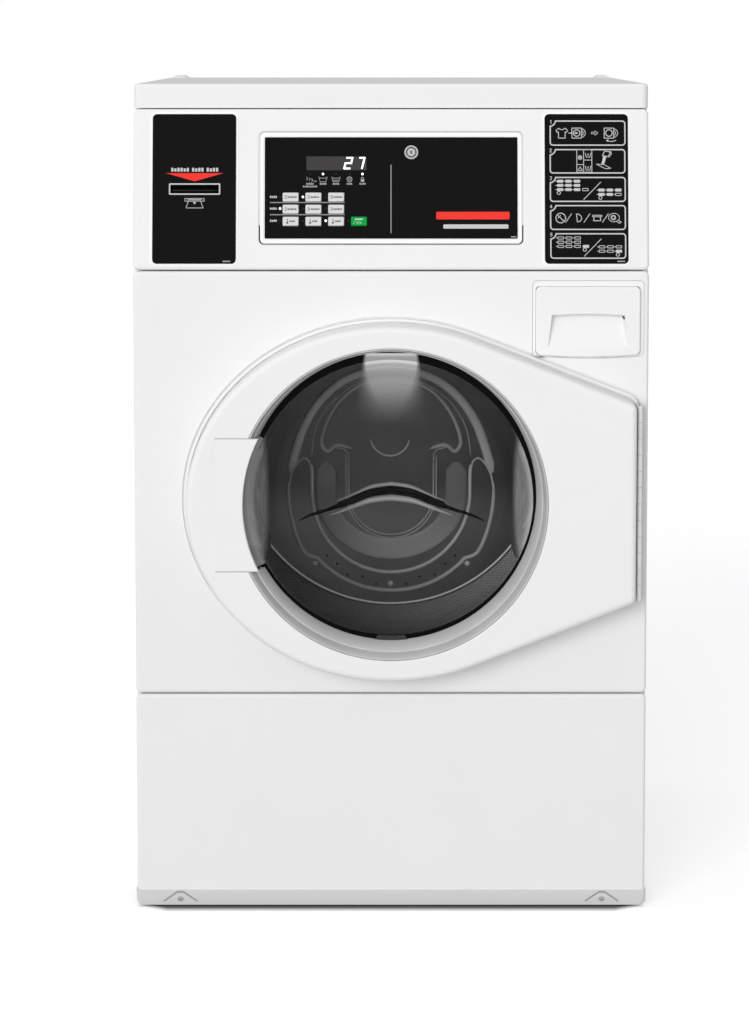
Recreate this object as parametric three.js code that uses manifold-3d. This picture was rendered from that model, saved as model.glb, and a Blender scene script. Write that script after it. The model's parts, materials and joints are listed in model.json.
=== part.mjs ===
import * as THREE from 'three';
import { mergeVertices } from 'three/addons/utils/BufferGeometryUtils.js';
import Module from 'manifold-3d';

const wasm = await Module();
wasm.setup();

// Front-loading commercial washing machine, in millimetres.
// z = 0 is the floor, y = 0 the face of the front panel, +y points to the wall behind,
// and x = 0 is the middle, with +x on the right of someone who faces the machine.

// Sizes that many pieces share
const sheet = 1.5;
const seat = 0.3;
const overrun = 6;
const weldReach = 0.0001;
const bigCircle = 32;
const tubCircle = 28;
const middleCircle = 18;
const smallCircle = 10;
const tinyCircle = 8;
const cornerArcs = 1;
const edgeRounds = 2;
const innerRounds = 1;

const cabinet = {
  width: 683,
  depth: 704,
  height: 1108,
  groundGap: 8,
  flange: 25,
  panelReturn: 20,
  panelEdge: 4.5,
  panelCorner: 7,
};
const half = cabinet.width / 2;
const rearWall = cabinet.depth - sheet - seat;

// Heights of the three seams in the front, and the gap that each one shows
const seam = { low: 293.8, high: 861.9, top: 1075.2, gap: 1.6 };

// Axis of the drum and of everything that turns with it
const axis = { height: 557 };

// Distances from the rear edge of the cabinet: everything behind the drum's middle follows its depth
const fromRear = {
  foot: 49,
  tub: 192,
  hubFront: 199,
  hubRear: 104,
  drum: 239,
  drumEdge: 252,
  lifter: 264,
  counterweight: 284,
  frontBearing: 179,
  rearBearing: 126,
  shaft: 49,
  pulley: 88,
  motorFront: 272,
  motorRear: 116,
  motorShaft: 138,
  motorTip: 54,
  frontBracket: 258,
  rearBracket: 202,
  sleeve: 498,
  tray: 518,
};

// Distances from the side of the cabinet, for what keeps its place near a side
const fromSide = {
  foot: 45.5,
  spring: 51.5,
  damper: 106.5,
  hinge: 13.8,
  plate: 25.5,
  plateEnd: 136.1,
  instruction: 27.6,
  instructionEnd: 138.1,
  reader: 47.5,
  readerEnd: 115.5,
  drawer: 11.8,
  drawerEnd: 149.9,
  housing: 6.3,
  housingEnd: 154.3,
  scoop: 32.4,
  scoopEnd: 129,
};

// Heights from the drum's axis, for everything that hangs on the tub
const fromAxis = {
  springHook: 218,
  counterweight: 343,
  counterweightLeft: 215,
  counterweightRight: 249,
  damper: -196,
  sump: -307,
  hose: -293,
  motor: -392,
};

// Cabinet shell
const wrap = {
  front: cabinet.panelReturn + seat,
  shoulder: 61.7,
  top: seam.top + seam.gap / 2 - seat,
  accessHalf: 250,
  accessLow: 170,
  accessHigh: 905,
};
const rearCover = {
  border: 18,
  drawn: 9,
  margin: 30,
  slotWidth: 60,
  slotHeight: 6,
  slotPitch: 16,
  slots: 5,
};
const topCover = { setBack: 38, edge: 4.5, corner: 9, padHeight: 4, padWidth: 24, padLength: 60 };
const toe = {
  low: 5,
  high: 25.6,
  slant: 14,
  bossHalf: 21,
  bossRise: 15,
  bossFace: 2.2,
  bossPlace: 284,
  tip: 4,
};
const base = {
  sheet: 2.5,
  rim: 50,
  ledge: 48,
  beamHalf: 34,
  beamRise: 22,
  crossHalf: 40,
  footX: half - fromSide.foot,
  footFrontY: 72,
  footRearY: cabinet.depth - fromRear.foot,
  nutRadius: 14,
  nutHeight: 18,
};
const foot = { padRadius: 22, padHeight: 7.7, edge: 2, stemRadius: 5, stemTop: 64 };
const valve = {
  x: -205,
  pitch: 50,
  z: 985,
  portRadius: 13,
  collar: 3,
  reach: 15,
  bodyLong: 46,
  bodyHigh: 44,
};

// Loading door: its outline is an ellipse with two tangents that run to the hinge edge
const door = {
  halfWidth: 270,
  halfHeight: 235.6,
  hingeHalf: 131,
  hingeCorner: 8,
  steps: 32,
  front: -58,
  parting: -24,
  rear: -8.6,
  wall: 3,
  roundFront: 8,
  roundRear: 4,
  window: 207,
};
const trim = { lip: 189, lipDepth: -17, wall: 2.5, collar: 8 };
const glass = {
  wall: 5,
  flange: 199,
  mouth: 184,
  throat: 170,
  floor: 150,
  reach: 82,
  mouthDepth: -10,
};
const grip = {
  half: 88,
  left: 231,
  inner: 195,
  thick: 8.5,
  clearance: 0.5,
  corner: 3,
  edge: 1,
  steps: 8,
};
const hinge = {
  x: half - fromSide.hinge,
  y: -40,
  radius: 3.2,
  pin: 1.5,
  bore: 1.9,
  half: 130,
  knuckles: 12,
  play: 0.5,
  leaf: 1.6,
  doorLeafRear: -15,
  flange: 40,
  flangeThick: 1.7,
};
const plateau = { grow: 6, rise: 6, edge: 2.5, opening: 208, neckRear: 8 };
const strike = { x: 238, thick: 4, half: 9, reach: 27, window: 5 };
const lock = { left: 262, right: 224, low: 37, high: 38, front: -4.2, rear: 30, play: 4 };

// Rubber bellows between the front panel and the tub
const gasket = {
  wall: 3,
  lipRadius: 191,
  collarFront: 211.6,
  fold: 203.5,
  crest: 216.5,
  collarRear: 212.9,
};

// Tub, hung on two springs and held by two dampers
const tub = {
  inner: 280,
  root: 282,
  wall: 4,
  front: 36,
  neckInner: 208,
  neckOuter: 211,
  neckFront: 26.2,
  split: 62,
  rimOuter: 288.5,
  rear: cabinet.depth - fromRear.tub,
  ribs: 10,
  ribThick: 5,
  ribHigh: 16,
  hubRadius: 62,
  hubTip: 40,
  hubFront: cabinet.depth - fromRear.hubFront,
  hubRear: cabinet.depth - fromRear.hubRear,
};
const counterweight = {
  left: 210,
  right: 160,
  front: 112,
  rear: cabinet.depth - fromRear.counterweight,
  top: axis.height + fromAxis.counterweight,
  leftLow: axis.height + fromAxis.counterweightLeft,
  rightLow: axis.height + fromAxis.counterweightRight,
};
const spring = {
  x: half - fromSide.spring,
  y: 280,
  lowHook: axis.height + fromAxis.springHook,
  highHook: 968,
  radius: 14,
  wire: 2,
  curls: 5,
  steps: 8,
  sides: 5,
  stem: 7,
  hookSteps: 5,
  hole: 4.6,
  plate: 4,
  lip: 10,
  earFrom: 32,
  earTo: 45,
};
const damper = {
  x: half - fromSide.damper,
  y: 280,
  tubeRadius: 15,
  bore: 12.8,
  tubeTop: 216,
  floor: 9,
  rodRadius: 7,
  pistonRadius: 12,
  pistonLow: 170,
  pistonHigh: 192,
  rodTop: axis.height + fromAxis.damper,
  lugHalf: 22,
  lugThick: 36,
  lugFrom: -44,
  lugTo: -26,
};
const sump = { x: 150, y: 120, radius: 16, bore: 12, low: axis.height + fromAxis.sump };

// Drum, its shaft with a three-armed spider, its pulley, the motor and the belt
const drum = {
  lip: 196,
  radius: 265,
  wall: 2,
  front: 43,
  shoulder: 62,
  back: cabinet.depth - fromRear.drum,
  backEdge: cabinet.depth - fromRear.drumEdge,
  dish: 12,
  dishRadius: 120,
  lifters: 3,
  lifterRise: 62,
  lifterBase: 74,
  lifterTip: 22,
  lifterFront: 90,
  lifterRear: cabinet.depth - fromRear.lifter,
  lifterTurn: 270,
};
const shaft = {
  radius: 17,
  hub: 46,
  armRoot: 30,
  armTip: 20,
  armThick: 20,
  armReach: 256,
  rear: cabinet.depth - fromRear.shaft,
};
const bearing = {
  frontY: cabinet.depth - fromRear.frontBearing,
  frontRadius: 31,
  frontWide: 20,
  rearY: cabinet.depth - fromRear.rearBearing,
  rearRadius: 26,
  rearWide: 17,
  race: 4,
};
const pulley = {
  radius: 155,
  rim: 6,
  wide: 26,
  y: cabinet.depth - fromRear.pulley,
  hub: 26,
  arms: 5,
  armWide: 22,
  armThick: 8,
  bore: 17.4,
};
const motor = {
  z: axis.height + fromAxis.motor,
  radius: 70,
  front: cabinet.depth - fromRear.motorFront,
  rear: cabinet.depth - fromRear.motorRear,
  cap: 56,
  capThick: 16,
  shaft: 8,
  boreGap: 0.6,
};
const motorPulley = {
  radius: 17,
  flange: 21,
  shaftFront: cabinet.depth - fromRear.motorShaft,
  shaftRear: cabinet.depth - fromRear.motorTip,
};
const carrier = {
  half: 60,
  low: axis.height + fromAxis.sump,
  thick: 8,
  frontY: cabinet.depth - fromRear.frontBracket,
  rearY: cabinet.depth - fromRear.rearBracket,
  neck: 34,
};
const belt = { wide: 20, thick: 4, steps: 24 };
const pump = {
  volute: 45,
  top: 60,
  spigot: 16,
  spigotTop: 124,
  motorRadius: 29,
  motorEnd: 285,
  foot: 5,
};
const hose = { low: 106, high: axis.height + fromAxis.hose, wall: 3, crest: 5, waves: 3 };

// Control panel: a sheet that leans back, with everything on it built flat in its own plane
const control = { leanBack: 35, rise: wrap.top + seat - seam.gap - seam.high - seam.gap / 2 };
const lean = Math.atan2(control.leanBack, control.rise);
const plate = { thick: 2, low: 8.3, high: 207.6, corner: 6 };
const cardPlate = { left: fromSide.plate - half, right: fromSide.plateEnd - half };
const instruction = { left: half - fromSide.instructionEnd, right: half - fromSide.instruction };
const reader = {
  left: fromSide.reader - half,
  right: fromSide.readerEnd - half,
  low: 99.5,
  high: 114.7,
  body: 4,
  depth: 56,
  throat: 9,
  slotHigh: 3.2,
};
const recess = { half: 175.2, low: 33.4, high: 184.4, corner: 7 };
const service = {
  side: 1.7,
  bottom: 2,
  top: 1.5,
  depth: 14,
  corner: 6,
  pivotY: 2.5,
  pivotRise: 3.1,
  pin: 1.5,
  pinReach: 5,
  lugWide: 8,
  lugDeep: 8,
};
const overlay = { half: 169.8, low: 41.4, high: 177.2, thick: 1.2, corner: 1.5 };
const key = {
  wide: 21.7,
  high: 12.5,
  proud: 2.6,
  edge: 0.8,
  gap: 0.6,
  flange: 1.6,
  flangeY: 2.2,
  flangeThick: 1.8,
  left: -133,
  pitchX: 30.15,
  low: 64.6,
  pitchZ: 16.05,
};
const boardSize = {
  left: -160,
  right: 8,
  low: 52,
  high: 170,
  y: 8.4,
  thick: 2,
  post: 3,
  chipThick: 4,
};
const turnLock = {
  x: 26.7,
  z: 156.4,
  radius: 9.5,
  proud: 2.5,
  rear: 16,
  camThick: 2.5,
  camWide: 12,
  camLong: 34,
};

// Detergent drawer and its housing
const drawer = {
  left: half - fromSide.drawerEnd,
  right: half - fromSide.drawer,
  low: 747.6,
  high: 841,
  corner: 5,
  bow: 3.3,
  edge: 2.1,
  front: -5,
  back: 10,
  wall: 2.5,
  trayLow: 794,
  trayHigh: 835,
  trayRear: cabinet.depth - fromRear.tray,
  trayInset: 5,
  divider: 2,
};
const scoop = {
  left: half - fromSide.scoopEnd,
  right: half - fromSide.scoop,
  top: 804.2,
  low: 760.6,
  depth: 11,
  flare: 4,
};
const housing = {
  left: half - fromSide.housingEnd,
  right: half - fromSide.housing,
  low: 745.4,
  high: 848.9,
  corner: 6,
  bezelFront: 1.2,
  bezelRear: 29,
  wall: 2.5,
  rear: cabinet.depth - fromRear.sleeve,
  sleeveLow: 790.7,
  play: 0.8,
};

// Finishes
const finish = (color, roughness, metalness) =>
  new THREE.MeshStandardMaterial({ color, roughness, metalness, flatShading: true });
const whitePaint = finish(0xeeeeee, 0.35, 0);
const greyPaint = finish(0xc8c8c8, 0.45, 0);
const whitePlastic = finish(0xececec, 0.4, 0);
const silver = finish(0xb4b4b4, 0.35, 0.6);
const darkGlass = finish(0x303234, 0.05, 0);
const blackFilm = finish(0x141414, 0.35, 0);
const keyGrey = finish(0xd5d5d5, 0.5, 0);
const green = finish(0x1ea24b, 0.45, 0);
const zinc = finish(0x9b9b9b, 0.35, 0.9);
const stainless = finish(0xb8babc, 0.3, 1);
const aluminium = finish(0xa5a8aa, 0.5, 0.9);
const rubber = finish(0x3a3a3a, 0.8, 0);
const tubPlastic = finish(0x8d9296, 0.6, 0);
const concrete = finish(0x9a968e, 0.9, 0);
const castBlack = finish(0x2a2a2c, 0.6, 0.3);
const boardGreen = finish(0x23613a, 0.6, 0);

// Turns a geometry into a closed indexed one that faces outwards
function weld(geometry) {
  const bare = geometry.clone();
  Object.keys(bare.attributes)
    .filter((name) => name !== 'position')
    .forEach((name) => bare.deleteAttribute(name));
  const merged = mergeVertices(bare, weldReach);
  const places = merged.attributes.position;
  const corners = merged.index.array;
  const kept = [];
  let volume = 0;
  for (let i = 0; i < corners.length; i += 3) {
    const triangle = [corners[i], corners[i + 1], corners[i + 2]];
    if (new Set(triangle).size < 3) continue;
    const [a, b, c] = triangle.map((corner) => new THREE.Vector3().fromBufferAttribute(places, corner));
    volume += a.dot(b.cross(c));
    kept.push(triangle);
  }
  const outward = volume < 0 ? kept.map(([a, b, c]) => [b, a, c]) : kept;
  merged.setIndex(outward.flat());
  return merged;
}

function toSolid(geometry) {
  const vertProperties = new Float32Array(geometry.attributes.position.array);
  const triVerts = new Uint32Array(geometry.index.array);
  return new wasm.Manifold(new wasm.Mesh({ numProp: 3, vertProperties, triVerts }));
}

function toGeometry(solid) {
  const { vertProperties, triVerts } = solid.getMesh();
  const geometry = new THREE.BufferGeometry();
  geometry.setAttribute('position', new THREE.BufferAttribute(vertProperties, 3));
  geometry.setIndex(new THREE.BufferAttribute(triVerts, 1));
  return geometry;
}

function join(...shapes) {
  return toGeometry(shapes.map(toSolid).reduce((whole, next) => whole.add(next)));
}

function cut(shape, ...tools) {
  return toGeometry(tools.map(toSolid).reduce((whole, tool) => whole.subtract(tool), toSolid(shape)));
}

function overlapOf(first, second) {
  return toGeometry(toSolid(first).intersect(toSolid(second)));
}

// Box between two x, two y and two z planes
function box(x0, x1, y0, y1, z0, z1) {
  const block = new THREE.BoxGeometry(Math.abs(x1 - x0), Math.abs(y1 - y0), Math.abs(z1 - z0));
  return weld(block).translate((x0 + x1) / 2, (y0 + y1) / 2, (z0 + z1) / 2);
}

function polygon(points) {
  return new THREE.Shape(points.map(([u, v]) => new THREE.Vector2(u, v)));
}

// A bow lets the middle of the lower edge hang below its ends
function roundedRect(left, right, low, high, corner, bow = 0) {
  const shape = new THREE.Shape();
  const quarter = Math.PI / 2;
  const foot = low + bow;
  shape.moveTo(left + corner, foot);
  if (bow > 0) {
    shape.quadraticCurveTo((left + right) / 2, low - bow, right - corner, foot);
  }
  shape.absarc(right - corner, foot + corner, corner, -quarter, 0, false);
  shape.absarc(right - corner, high - corner, corner, 0, quarter, false);
  shape.absarc(left + corner, high - corner, corner, quarter, 2 * quarter, false);
  shape.absarc(left + corner, foot + corner, corner, 2 * quarter, 3 * quarter, false);
  return shape;
}

function extrude(shape, depth, edge, rounds) {
  const rounding = {
    bevelEnabled: edge > 0,
    bevelThickness: edge,
    bevelSize: edge,
    bevelOffset: -edge,
    bevelSegments: rounds,
  };
  const run = { depth: depth - 2 * edge, curveSegments: cornerArcs };
  const geometry = new THREE.ExtrudeGeometry(shape, { ...run, ...rounding });
  return weld(geometry).translate(0, 0, edge);
}

// Outline seen from the front, in x and z, run from one depth to another
function frontPrism(shape, front, rear, edge = 0, rounds = edgeRounds) {
  return extrude(shape, rear - front, edge, rounds).rotateX(Math.PI / 2).translate(0, rear, 0);
}

// Outline seen from above, in x and y, run from one height to another
function planPrism(shape, low, high, edge = 0, rounds = edgeRounds) {
  return extrude(shape, high - low, edge, rounds).translate(0, 0, low);
}

// Outline seen from the right, in y and z, run from one x to another
function sidePrism(shape, left, right) {
  const turn = new THREE.Matrix4().set(0, 0, 1, left, 1, 0, 0, 0, 0, 1, 0, 0, 0, 0, 0, 1);
  return extrude(shape, right - left, 0, edgeRounds).applyMatrix4(turn);
}

// Closed outline of a wall that follows a line, half its thickness on each side
function wallOutline(line, thickness) {
  const near = [];
  const far = [];
  line.forEach(([u, v], i) => {
    const [u0, v0] = line[Math.max(i - 1, 0)];
    const [u1, v1] = line[Math.min(i + 1, line.length - 1)];
    const before = new THREE.Vector2(u - u0, v - v0);
    const after = new THREE.Vector2(u1 - u, v1 - v);
    if (i === 0) before.copy(after);
    if (i === line.length - 1) after.copy(before);
    const first = new THREE.Vector2(-before.y, before.x).normalize();
    const second = new THREE.Vector2(-after.y, after.x).normalize();
    const mitre = first.clone().add(second).divideScalar(1 + first.dot(second));
    const reach = mitre.multiplyScalar(thickness / 2);
    near.push([u + reach.x, v + reach.y]);
    far.push([u - reach.x, v - reach.y]);
  });
  return [...near, ...far.reverse()];
}

// Outline closed on itself, for a lathe
const latheLine = (outline) =>
  [...outline, outline[0]].map(([radius, along]) => new THREE.Vector2(Math.max(radius, 0), along));

// Outline in radius and depth, turned about a line along y at (x, z)
function revolveY(outline, x, z, sides) {
  return weld(new THREE.LatheGeometry(latheLine(outline), sides)).translate(x, 0, z);
}

// Outline in radius and height, turned about an upright line at (x, y)
function revolveZ(outline, x, y, sides) {
  const turned = new THREE.LatheGeometry(latheLine(outline), sides);
  return weld(turned).rotateX(Math.PI / 2).translate(x, y, 0);
}

const rodOutline = (radius, from, to) => [[0, from], [radius, from], [radius, to], [0, to]];
const ringOutline = (inner, outer, from, to) => [[inner, from], [outer, from], [outer, to], [inner, to]];

function rodY(x, z, radius, front, rear, sides = smallCircle) {
  return revolveY(rodOutline(radius, front, rear), x, z, sides);
}

function rodZ(x, y, radius, low, high, sides = smallCircle) {
  return revolveZ(rodOutline(radius, low, high), x, y, sides);
}

function rodX(y, z, radius, left, right, sides = smallCircle) {
  return revolveY(rodOutline(radius, -right, -left), 0, 0, sides).rotateZ(Math.PI / 2).translate(0, y, z);
}

// Radius at the corners of a many-sided ring whose flats clear a circle of the given radius
const around = (radius, sides) => (radius + seat) / Math.cos(Math.PI / sides);

// Point on a circle about the drum's axis, seen from the front
const onCircle = (radius, degrees) => {
  const angle = THREE.MathUtils.degToRad(degrees);
  return [radius * Math.cos(angle), axis.height + radius * Math.sin(angle)];
};

// Round tube along a list of points, with flat ends
function sweep(points, radius, sides) {
  const last = points.length - 1;
  const tangents = points.map((point, i) =>
    points[Math.min(i + 1, last)].clone().sub(points[Math.max(i - 1, 0)]).normalize());
  let normal = new THREE.Vector3(0, 0, 1).cross(tangents[0]).normalize();
  const places = [];
  const corners = [];
  points.forEach((point, i) => {
    normal = normal.clone().addScaledVector(tangents[i], -normal.dot(tangents[i])).normalize();
    const second = tangents[i].clone().cross(normal);
    for (let side = 0; side < sides; side += 1) {
      const angle = 2 * Math.PI * side / sides;
      const place = point.clone().addScaledVector(normal, radius * Math.cos(angle));
      places.push(place.addScaledVector(second, radius * Math.sin(angle)));
    }
  });
  for (let i = 0; i < last; i += 1) {
    for (let side = 0; side < sides; side += 1) {
      const a = i * sides + side;
      const b = i * sides + (side + 1) % sides;
      corners.push(a, b, b + sides, a, b + sides, a + sides);
    }
  }
  for (let side = 1; side < sides - 1; side += 1) {
    corners.push(0, side + 1, side);
    corners.push(last * sides, last * sides + side, last * sides + side + 1);
  }
  const geometry = new THREE.BufferGeometry();
  const numbers = places.flatMap((place) => place.toArray());
  geometry.setAttribute('position', new THREE.Float32BufferAttribute(numbers, 3));
  geometry.setIndex(corners);
  return geometry;
}

const machine = new THREE.Group();
machine.name = 'washing_machine';
const slope = new THREE.Group();
slope.position.set(0, 0, seam.high + seam.gap / 2);
slope.rotation.x = -lean;
slope.updateMatrixWorld(true);
machine.add(slope);

function add(name, geometry, material, parent = machine) {
  const mesh = new THREE.Mesh(geometry, material);
  mesh.name = name;
  parent.add(mesh);
  return mesh;
}

// Moves a shape that is built flat in the plane of the control panel to where that plane stands
const onSlope = (geometry) => geometry.applyMatrix4(slope.matrixWorld);

// Side panels and rear frame in one folded sheet, with the two spring hangers
function cabinetWrap() {
  const lowerTop = seam.high;
  const outer = join(
    box(-half, half, wrap.front, rearWall, cabinet.groundGap, lowerTop),
    box(-half, half, wrap.shoulder, rearWall, cabinet.groundGap, wrap.top),
  );
  const inside = half - sheet;
  const inner = join(
    box(-inside, inside, wrap.front + sheet, rearWall - sheet, -overrun, lowerTop - sheet),
    box(-inside, inside, wrap.shoulder + sheet, rearWall - sheet, -overrun, cabinet.height),
  );
  const doorway = half - cabinet.flange;
  const mouth = box(-doorway, doorway, 0, wrap.shoulder + overrun, -overrun, cabinet.height);
  const accessHeights = [wrap.accessLow, wrap.accessHigh];
  const accessDepths = [rearWall - overrun, cabinet.depth];
  const access = box(-wrap.accessHalf, wrap.accessHalf, ...accessDepths, ...accessHeights);
  const drawerSides = [housing.left - housing.play, housing.right + housing.play];
  const drawerHeights = [housing.low - housing.play, housing.high + housing.play];
  const drawerRoom = box(...drawerSides, 0, wrap.shoulder, ...drawerHeights);
  const shell = cut(outer, inner, mouth, access, drawerRoom, ...valvePorts(valve.portRadius + seat));
  return join(shell, springHanger(-1), springHanger(1));
}

function valvePorts(radius) {
  return [-1, 1].map((side) =>
    rodY(valve.x + side * valve.pitch / 2, valve.z, radius, rearWall - overrun, cabinet.depth));
}

// Plate on the side wall that a spring's upper hook passes through
function springHanger(side) {
  const wall = side * (half - sheet / 2);
  const tip = side * (spring.x - spring.lip);
  const low = spring.highHook - spring.lip;
  const points = [[wall, low - spring.lip], [wall, low + 2 * cabinet.flange]];
  points.push([tip, low + cabinet.flange], [tip, low]);
  const gusset = frontPrism(polygon(points), spring.y - spring.plate / 2, spring.y + spring.plate / 2);
  const reach = [spring.y - spring.plate, spring.y + spring.plate];
  return cut(gusset, rodY(side * spring.x, spring.highHook, spring.hole, ...reach));
}

// Cover over the opening in the rear, drawn inwards, with two rows of slots
function rearPanel() {
  const wide = wrap.accessHalf + rearCover.border;
  const low = wrap.accessLow - rearCover.border;
  const high = wrap.accessHigh + rearCover.border;
  const outline = roundedRect(-wide, wide, low, high, cabinet.panelCorner);
  const cover = frontPrism(outline, rearWall + seat, cabinet.depth);
  const drawn = (grow) => {
    const side = wrap.accessHalf - rearCover.margin + grow;
    const shape = roundedRect(
      -side,
      side,
      wrap.accessLow + rearCover.margin - grow,
      wrap.accessHigh - rearCover.margin + grow,
      cabinet.panelCorner + rearCover.drawn + grow,
    );
    return shape;
  };
  const dishFront = cabinet.depth - rearCover.drawn;
  const dish = frontPrism(drawn(0), dishFront, cabinet.depth);
  const hollow = frontPrism(drawn(-sheet), dishFront + sheet, cabinet.depth + overrun);
  const slots = [];
  [-1, 1].forEach((side) => {
    for (let row = 0; row < rearCover.slots; row += 1) {
      const z = wrap.accessHigh - 2 * rearCover.margin - (row + 1) * rearCover.slotPitch;
      const x = side * rearCover.slotWidth;
      const [left, right] = [x - rearCover.slotWidth / 2, x + rearCover.slotWidth / 2];
      slots.push(box(left, right, dishFront - overrun, cabinet.depth, z, z + rearCover.slotHeight));
    }
  });
  return cut(join(cover, dish), hollow, ...slots);
}

// Tray of folded sheet with a raised cross beam for the dampers and nuts for the feet
function baseFrame() {
  const side = half - sheet - seat;
  const front = wrap.front + sheet + seat;
  const rear = rearWall - sheet - seat;
  const low = cabinet.groundGap;
  const floor = low + base.sheet;
  const top = low + base.rim;
  const tray = cut(
    box(-side, side, front, rear, low, top),
    box(-side + base.sheet, side - base.sheet, front + base.sheet, rear - base.sheet, floor, top + overrun),
  );
  const beamFront = damper.y - base.beamHalf;
  const beamRear = damper.y + base.beamHalf;
  const inside = side - base.ledge;
  const beamTop = floor + base.beamRise;
  const beam = box(-inside, inside, beamFront, beamRear, low, beamTop);
  const nuts = footPlaces().map(([x, y]) => rodZ(x, y, base.nutRadius, low, floor + base.nutHeight));
  const beamHollow = box(
    -inside + base.sheet,
    inside - base.sheet,
    beamFront + base.sheet,
    beamRear - base.sheet,
    low - overrun,
    beamTop - base.sheet,
  );
  const pumpEdge = sump.x - 2 * base.crossHalf;
  const frontOpening = box(-inside, pumpEdge, front + base.ledge, beamFront - base.crossHalf / 2, 0, top);
  const rearOpening = box(-inside, inside, beamRear + base.crossHalf / 2, rear - base.ledge, 0, top);
  const holes = footPlaces().map(([x, y]) => rodZ(x, y, around(foot.stemRadius, smallCircle), 0, top));
  return cut(join(tray, beam, ...nuts), beamHollow, frontOpening, rearOpening, ...holes);
}

function footPlaces() {
  return [base.footFrontY, base.footRearY].flatMap((y) => [-1, 1].map((side) => [side * base.footX, y]));
}

function levellingFoot(x, y) {
  const outline = [
    [0, 0],
    [foot.padRadius, 0],
    [foot.padRadius, foot.padHeight - foot.edge],
    [foot.padRadius - foot.edge, foot.padHeight],
    [foot.stemRadius, foot.padHeight],
    [foot.stemRadius, foot.stemTop],
    [0, foot.stemTop],
  ];
  return revolveZ(outline, x, y, smallCircle);
}

// Top cover with rolled edges and a raised pad at each rear corner
function topPanel() {
  const low = wrap.top + seat;
  const { setBack, edge, corner } = topCover;
  const outline = (inset) =>
    roundedRect(-half + inset, half - inset, setBack + inset, cabinet.depth - inset, corner - inset);
  const outer = planPrism(outline(0), low - 2 * edge, cabinet.height, edge);
  const inner = planPrism(outline(sheet), low - 3 * edge, cabinet.height - sheet, edge - sheet, innerRounds);
  const below = box(-cabinet.width, cabinet.width, 0, 2 * cabinet.depth, 0, low);
  const pads = [-1, 1].map((side) => {
    const outside = side * (half - edge);
    const inside = outside - side * topCover.padWidth;
    const rise = cabinet.height + topCover.padHeight;
    const points = [[outside, cabinet.height - sheet / 2], [outside, rise], [inside, rise]];
    points.push([inside - side * topCover.padHeight, cabinet.height - sheet / 2]);
    return frontPrism(polygon(points), cabinet.depth - topCover.padLength, cabinet.depth - edge);
  });
  return join(cut(outer, inner, below), ...pads);
}

// Shallow pan with rounded front edges, open at the back
function pan(low, high, front, rear) {
  const { panelEdge, panelCorner } = cabinet;
  const outline = (inset) =>
    roundedRect(-half + inset, half - inset, low + inset, high - inset, panelCorner - inset);
  const outer = frontPrism(outline(0), front, rear + 2 * panelEdge, panelEdge);
  const inner = frontPrism(outline(sheet), front + sheet, rear + 3 * panelEdge, panelEdge - sheet, innerRounds);
  const behind = box(-cabinet.width, cabinet.width, rear, rear + cabinet.width, 0, 2 * cabinet.height);
  return cut(outer, inner, behind);
}

// Outline of the loading door: an ellipse, two tangents and a straight hinge edge
function doorOutline(grow) {
  const a = door.halfWidth + grow;
  const b = door.halfHeight + grow;
  const edge = hinge.x - hinge.radius - seat + grow;
  const rise = door.hingeHalf + grow;
  const distance = Math.hypot(edge / a, rise / b);
  const touch = Math.atan2(rise / b, edge / a) + Math.acos(1 / distance);
  const corner = Math.max(door.hingeCorner + grow, seat);
  const points = [];
  for (let index = 0; index <= door.steps; index += 1) {
    const angle = touch + 2 * (Math.PI - touch) * index / door.steps;
    points.push([a * Math.cos(angle), b * Math.sin(angle)]);
  }
  const meeting = [a * Math.cos(touch) - edge, b * Math.sin(touch) - rise];
  const along = new THREE.Vector2(...meeting).setLength(corner);
  const round = new THREE.QuadraticBezierCurve(
    new THREE.Vector2(edge, rise - corner),
    new THREE.Vector2(edge, rise),
    new THREE.Vector2(edge + along.x, rise + along.y),
  ).getPoints(cornerArcs + 2).map((point) => point.toArray());
  points.push(...round.map(([x, z]) => [x, -z]).reverse(), ...round);
  return polygon(points.map(([x, z]) => [x, axis.height + z]));
}

const doorPrism = (grow, front, rear, edge = 0, rounds = edgeRounds) =>
  frontPrism(doorOutline(grow), front, rear, edge, rounds);
const axisRod = (radius, front, rear, sides = bigCircle) => rodY(0, axis.height, radius, front, rear, sides);
const axisTurn = (outline, sides = bigCircle) => revolveY(outline, 0, axis.height, sides);

// Front panel with the drawn plateau round the door and the openings for door, lock and drawer
function frontPanel() {
  const low = seam.low + seam.gap / 2;
  const high = seam.high - seam.gap / 2;
  const shell = pan(low, high, 0, cabinet.panelReturn);
  const { grow, rise, edge, opening, neckRear } = plateau;
  const raised = doorPrism(grow, -rise, edge, edge);
  const raisedInner = doorPrism(grow - sheet, sheet - rise, cabinet.panelReturn, edge - sheet, innerRounds);
  const neck = axisRod(opening + sheet, -rise + sheet / 2, neckRear);
  const window = axisRod(opening, -rise - overrun, neckRear + overrun);
  const drawerHole = frontPrism(
    roundedRect(housing.left, housing.right, housing.low, housing.high, housing.corner, drawer.bow),
    -overrun,
    cabinet.panelReturn + overrun,
  );
  const slotLeft = -strike.x - strike.thick / 2 - lock.play;
  const slotRight = -strike.x + strike.thick / 2 + lock.play / 2;
  const slotHalf = strike.half + lock.play / 2;
  const [slotLow, slotHigh] = [axis.height - slotHalf, axis.height + slotHalf];
  const slot = box(slotLeft, slotRight, -rise - overrun, 0, slotLow, slotHigh);
  return cut(join(cut(join(shell, raised), raisedInner), neck), window, drawerHole, slot);
}

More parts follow.
